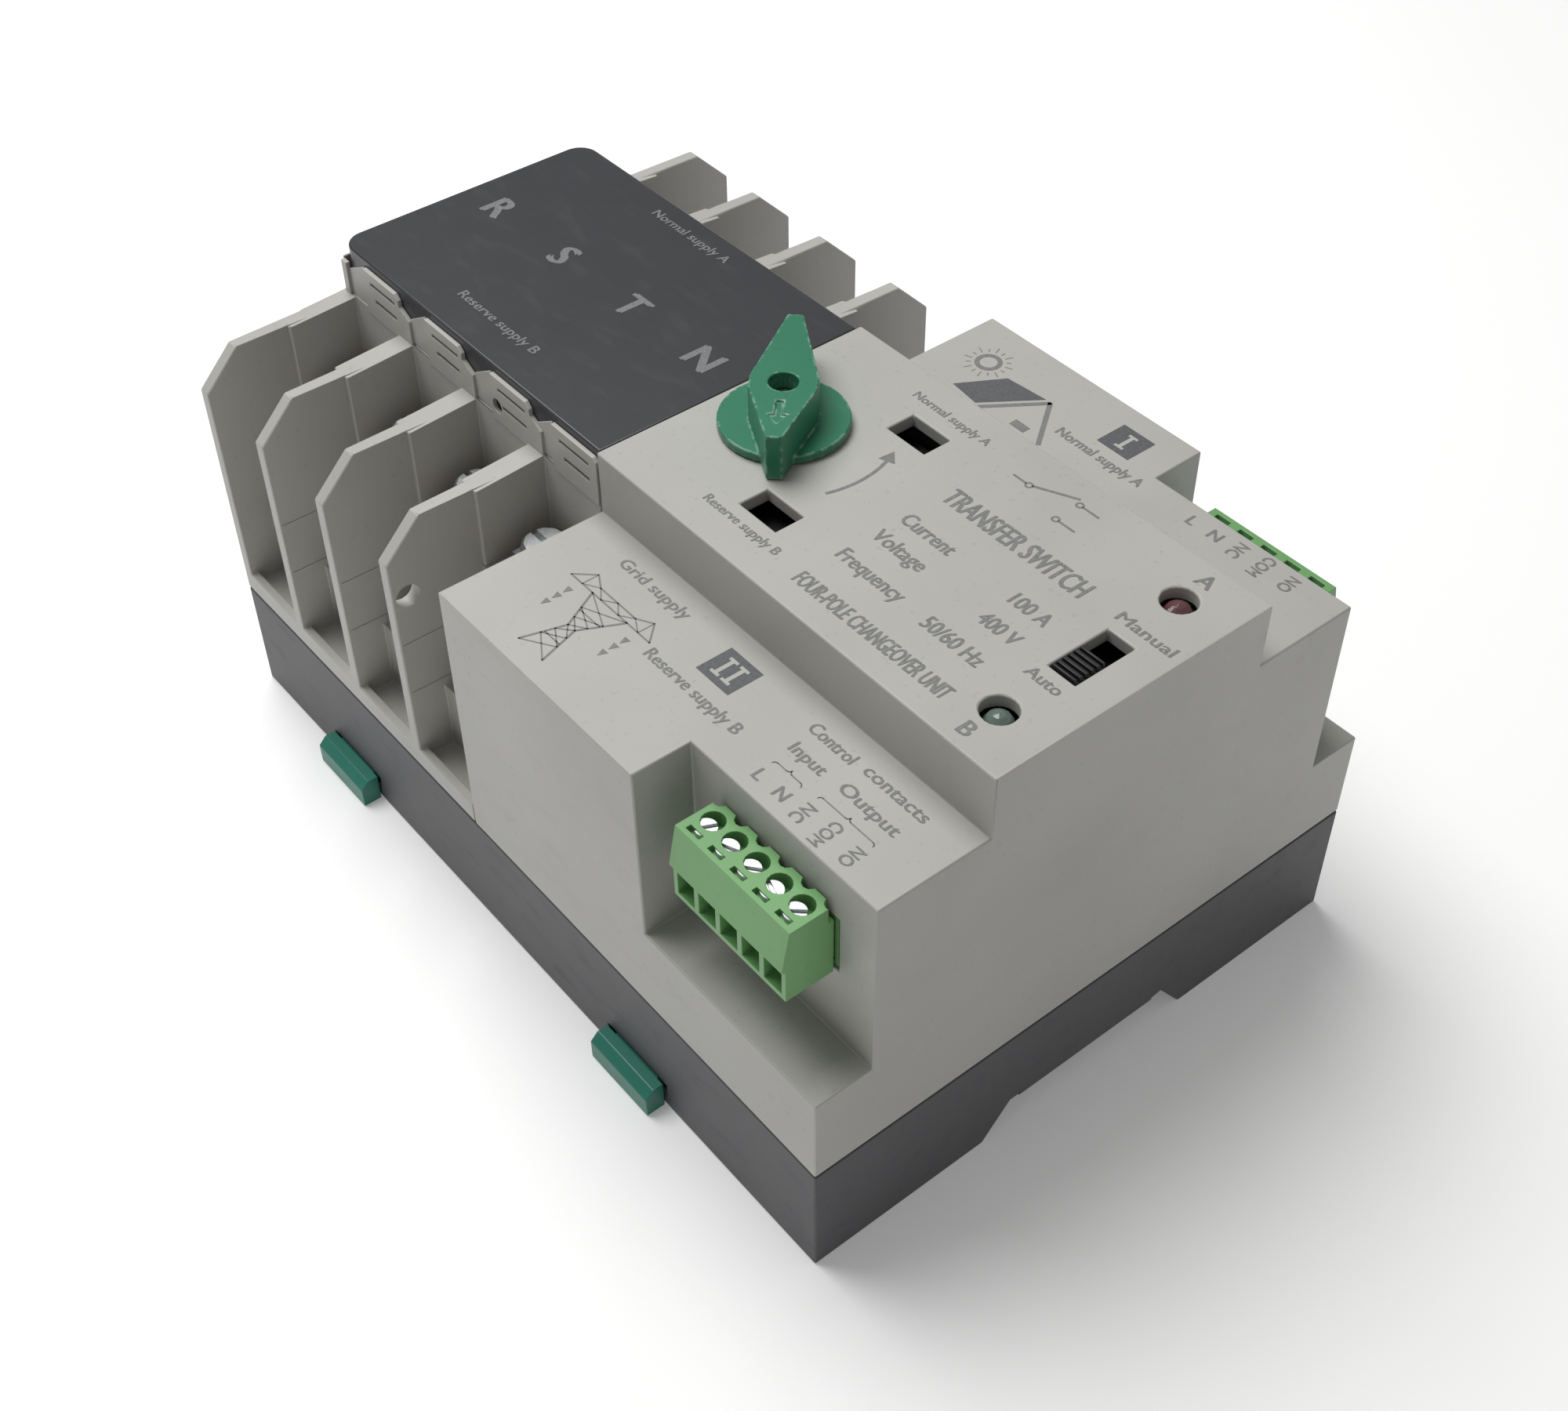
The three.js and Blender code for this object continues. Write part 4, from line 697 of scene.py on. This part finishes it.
def changeover_symbol(marks, x, y):
    """The general sign for a two-way switch."""
    marks.ring(x - 4.6, y, 0.75, 0.4)
    for way in (1, -1):
        marks.ring(x + 4, y + way * 2.6, 0.75, 0.4)
        marks.stroke(0.4, (x + 4.7, y + way * 2.6), (x + 8, y + way * 2.6))
    marks.stroke(0.4, (x - 8, y), (x - 5.3, y))
    marks.stroke(0.5, (x - 4, y + 0.3), (x + 3, y + 3.6))


PYLON_X = 14.3
PYLON_SIDES = (  # width, and points as distances from the middle and y
    (0.4, ((3.2, -55.2), (0.9, -47.6), (4.6, -40.4))),
    (0.24, ((3.2, -55.2), (-2.2, -51.8), (1.5, -49.6), (-0.9, -47.6))),
    (0.24, ((0.9, -47.6), (-1.8, -45.8), (2.9, -43.7), (-4.6, -40.4))),
    (0.3, ((10.4, -40.4), (7.4, -37.2), (4.6, -38.8), (0, -38.8))),
    (0.22, ((7.4, -37.2), (7.4, -40.4), (4.6, -38.8), (2.3, -40.4), (0, -38.8))),
)
PYLON_BARS = ((0.24, 1.9, -51.2), (0.24, 2.6, -44.2), (0.3, 10.4, -40.4))  # width, half length and y


def lower_legends():
    """Supply B's sign, a pylon, with its block, names and terminal labels."""
    marks = Print(TIER)
    for width, points in PYLON_SIDES:
        marks.mirrored_stroke(width, PYLON_X, *points)
    for width, half, y in PYLON_BARS:
        marks.stroke(width, (PYLON_X - half, y), (PYLON_X + half, y))
    for side in (-1, 1):
        for y in (-47.3, -45.2, -43.1):
            tip = PYLON_X + side * 7.6
            marks.area([(tip - 0.7, y + 0.7), (tip + 0.7, y + 0.7), (tip, y - 0.9)])
    marks.words("Grid supply", 15.2, -32.6, 2.2, 17.2)
    marks.words("Reserve supply B", 37.2, -41.9, 2.3, 22.4)
    marks.words("Control", 58.9, -32.5, 2.3, 9.4)
    marks.words("contacts", 72.4, -32.2, 2.3, 13)
    marks.words("Input", 59.1, -37.6, 2.3, 7.2)
    marks.words("Output", 72.2, -37.2, 2.3, 12)
    marks.brace(59.5, -41.2, 6.4, 1.2)
    marks.brace(71.8, -40.6, 12, 1.2)
    terminal_labels(marks, -44.6)
    marks.done("lower_legend_b", "legend", "housing_plastic")
    block = Print(TIER)
    block.numeral_block(37.4, -34.8, 7.8, 6.9, 2)
    block.done("block_legend_b", "dark_legend", "housing_plastic")


def terminal_labels(marks, y):
    """The names of a plug's five ways."""
    for x, label in ((57, "L"), (62, "N")):
        marks.words(label, x, y, 2.4)
    for x, label, length in ((66.7, "NC", 3.8), (71.8, "COM", 5.4), (77.3, "NO", 3.8)):
        marks.words(label, x, y, 2.2, length, turn=-90)


SUN = (3.9, 49.1)
SUN_RAYS = 16
RAY_START = 3.2
RAY_ENDS = (4.0, 4.6)


def upper_legends():
    """The same for supply A, with a sun over a roof as its sign."""
    marks = Print(TIER)
    x, y = SUN
    marks.ring(x, y, 2.5, 1.6)
    for i in range(SUN_RAYS):
        angle = 2 * pi * i / SUN_RAYS
        ray = [(x + r * cos(angle), y + r * sin(angle)) for r in (RAY_START, RAY_ENDS[i % 2])]
        marks.stroke(0.2, *ray)
    marks.stroke(0.9, (12.4, 38.9), (19.6, 49.0), (26.6, 39.4))
    marks.area(box_outline(19.2, 22.6, 39.6, 41.4))
    marks.words("Normal supply A", 35.6, 44.6, 2.2, 19.4)
    terminal_labels(marks, 44.6)
    marks.done("lower_legend_a", "legend", "housing_plastic")
    block = Print(TIER)
    block.numeral_block(35.6, 51.2, 7.2, 6.7, 1)
    block.area([(4.6, 40.0), (11.2, 39.2), (18.4, 49.2), (9.6, 48.4)])
    block.done("block_legend_a", "dark_legend", "housing_plastic")


# ---- floor, light and camera ----

FLOOR_HALF = 3
FLOOR_GAP = 0.05 * MM
FLOOR_GLOW = 0.15


def add_stage():
    """A white floor that glows a little, so that it stays nearly white beside the object."""
    bm = bmesh.new()
    bmesh.ops.create_grid(bm, x_segments=1, y_segments=1, size=FLOOR_HALF)
    bmesh.ops.translate(bm, verts=bm.verts, vec=(0, 0, BASE_Z - FLOOR_GAP))
    mesh = bpy.data.meshes.new("floor")
    bm.to_mesh(mesh)
    bm.free()
    floor = bpy.data.objects.new("floor", mesh)
    bpy.context.scene.collection.objects.link(floor)
    paper = Finish("floor_paper", Roughness=0.9)
    paper.feed("Base Color", paper.blend(paper.noise(300, 2), rgb(242, 242, 241), rgb(246, 246, 246)))
    paper.feed("Emission Color", (1, 1, 1, 1))
    paper.feed("Emission Strength", FLOOR_GLOW)
    mesh.materials.append(paper.material)


WORLD_STRENGTH = 0.25
LAMP_PLACE = Vector((-0.42, -0.06, 1.0))
LAMP_AIM = Vector((0, 0, 0.03))
LAMP_SIZE = 0.8
LAMP_POWER = 11


def add_light():
    """Even light from all around, and one wide lamp overhead."""
    world = bpy.data.worlds.new("studio")
    world.use_nodes = True
    world.node_tree.nodes["Background"].inputs["Color"].default_value = (1, 1, 1, 1)
    world.node_tree.nodes["Background"].inputs["Strength"].default_value = WORLD_STRENGTH
    bpy.context.scene.world = world
    bpy.context.scene.view_settings.view_transform = "Standard"
    lamp = bpy.data.lights.new("key", "AREA")
    lamp.shape = "DISK"
    lamp.size = LAMP_SIZE
    lamp.energy = LAMP_POWER
    light = bpy.data.objects.new("key", lamp)
    light.location = LAMP_PLACE
    light.rotation_euler = (LAMP_AIM - LAMP_PLACE).to_track_quat("-Z", "Y").to_euler()
    bpy.context.scene.collection.objects.link(light)


CAMERA_AIM = Vector((27.2, -16.4, 45)) * MM
CAMERA_AZIMUTH = 51.6
CAMERA_ELEVATION = 44.46
CAMERA_DISTANCE = 348.8 * MM
CAMERA_ROLL = -0.72
CAMERA_LENS = 48.44


def add_camera():
    """The camera looks down on the near corner of the control unit."""
    turn = Euler((radians(90 - CAMERA_ELEVATION), 0, radians(CAMERA_AZIMUTH))).to_matrix()
    back = turn @ Vector((0, 0, 1))
    camera = bpy.data.objects.new("camera", bpy.data.cameras.new("camera"))
    camera.data.lens = CAMERA_LENS
    camera.data.sensor_width = 36
    camera.data.clip_start = 0.01
    rolled = turn @ Matrix.Rotation(radians(CAMERA_ROLL), 3, "Z")
    camera.matrix_world = Matrix.Translation(CAMERA_AIM + CAMERA_DISTANCE * back) @ rolled.to_4x4()
    bpy.context.scene.collection.objects.link(camera)
    bpy.context.scene.camera = camera


add_stage()
add_light()
add_camera()

for node, thing in NODES.items():
    thing.data.materials.clear()
    thing.data.materials.append(MATERIALS[SLOT_OF[node]])

rounded("pole_housing", 0.25, "WEIGHT", drills=[LAST_RIB_HOLE])
for node in ("control_housing", "base_tray"):
    rounded(node, 0.3, "WEIGHT")
rounded("pole_cover", 0.35)
rounded("knob", 0.3)
for side in SIDES:
    rounded("plug_" + side, 0.15)
for end in "12":
    rounded("rail_clip_" + end, 0.5)
rounded("mode_slider", 0.12)

for side in SIDES:
    chamber_front(side)
    plug_screws(side)
end_plate()
for rank in ("a", "b", "load"):
    clamps(rank)
rib_lines()
cover_legends()
panel_legends()
lower_legends()
upper_legends()
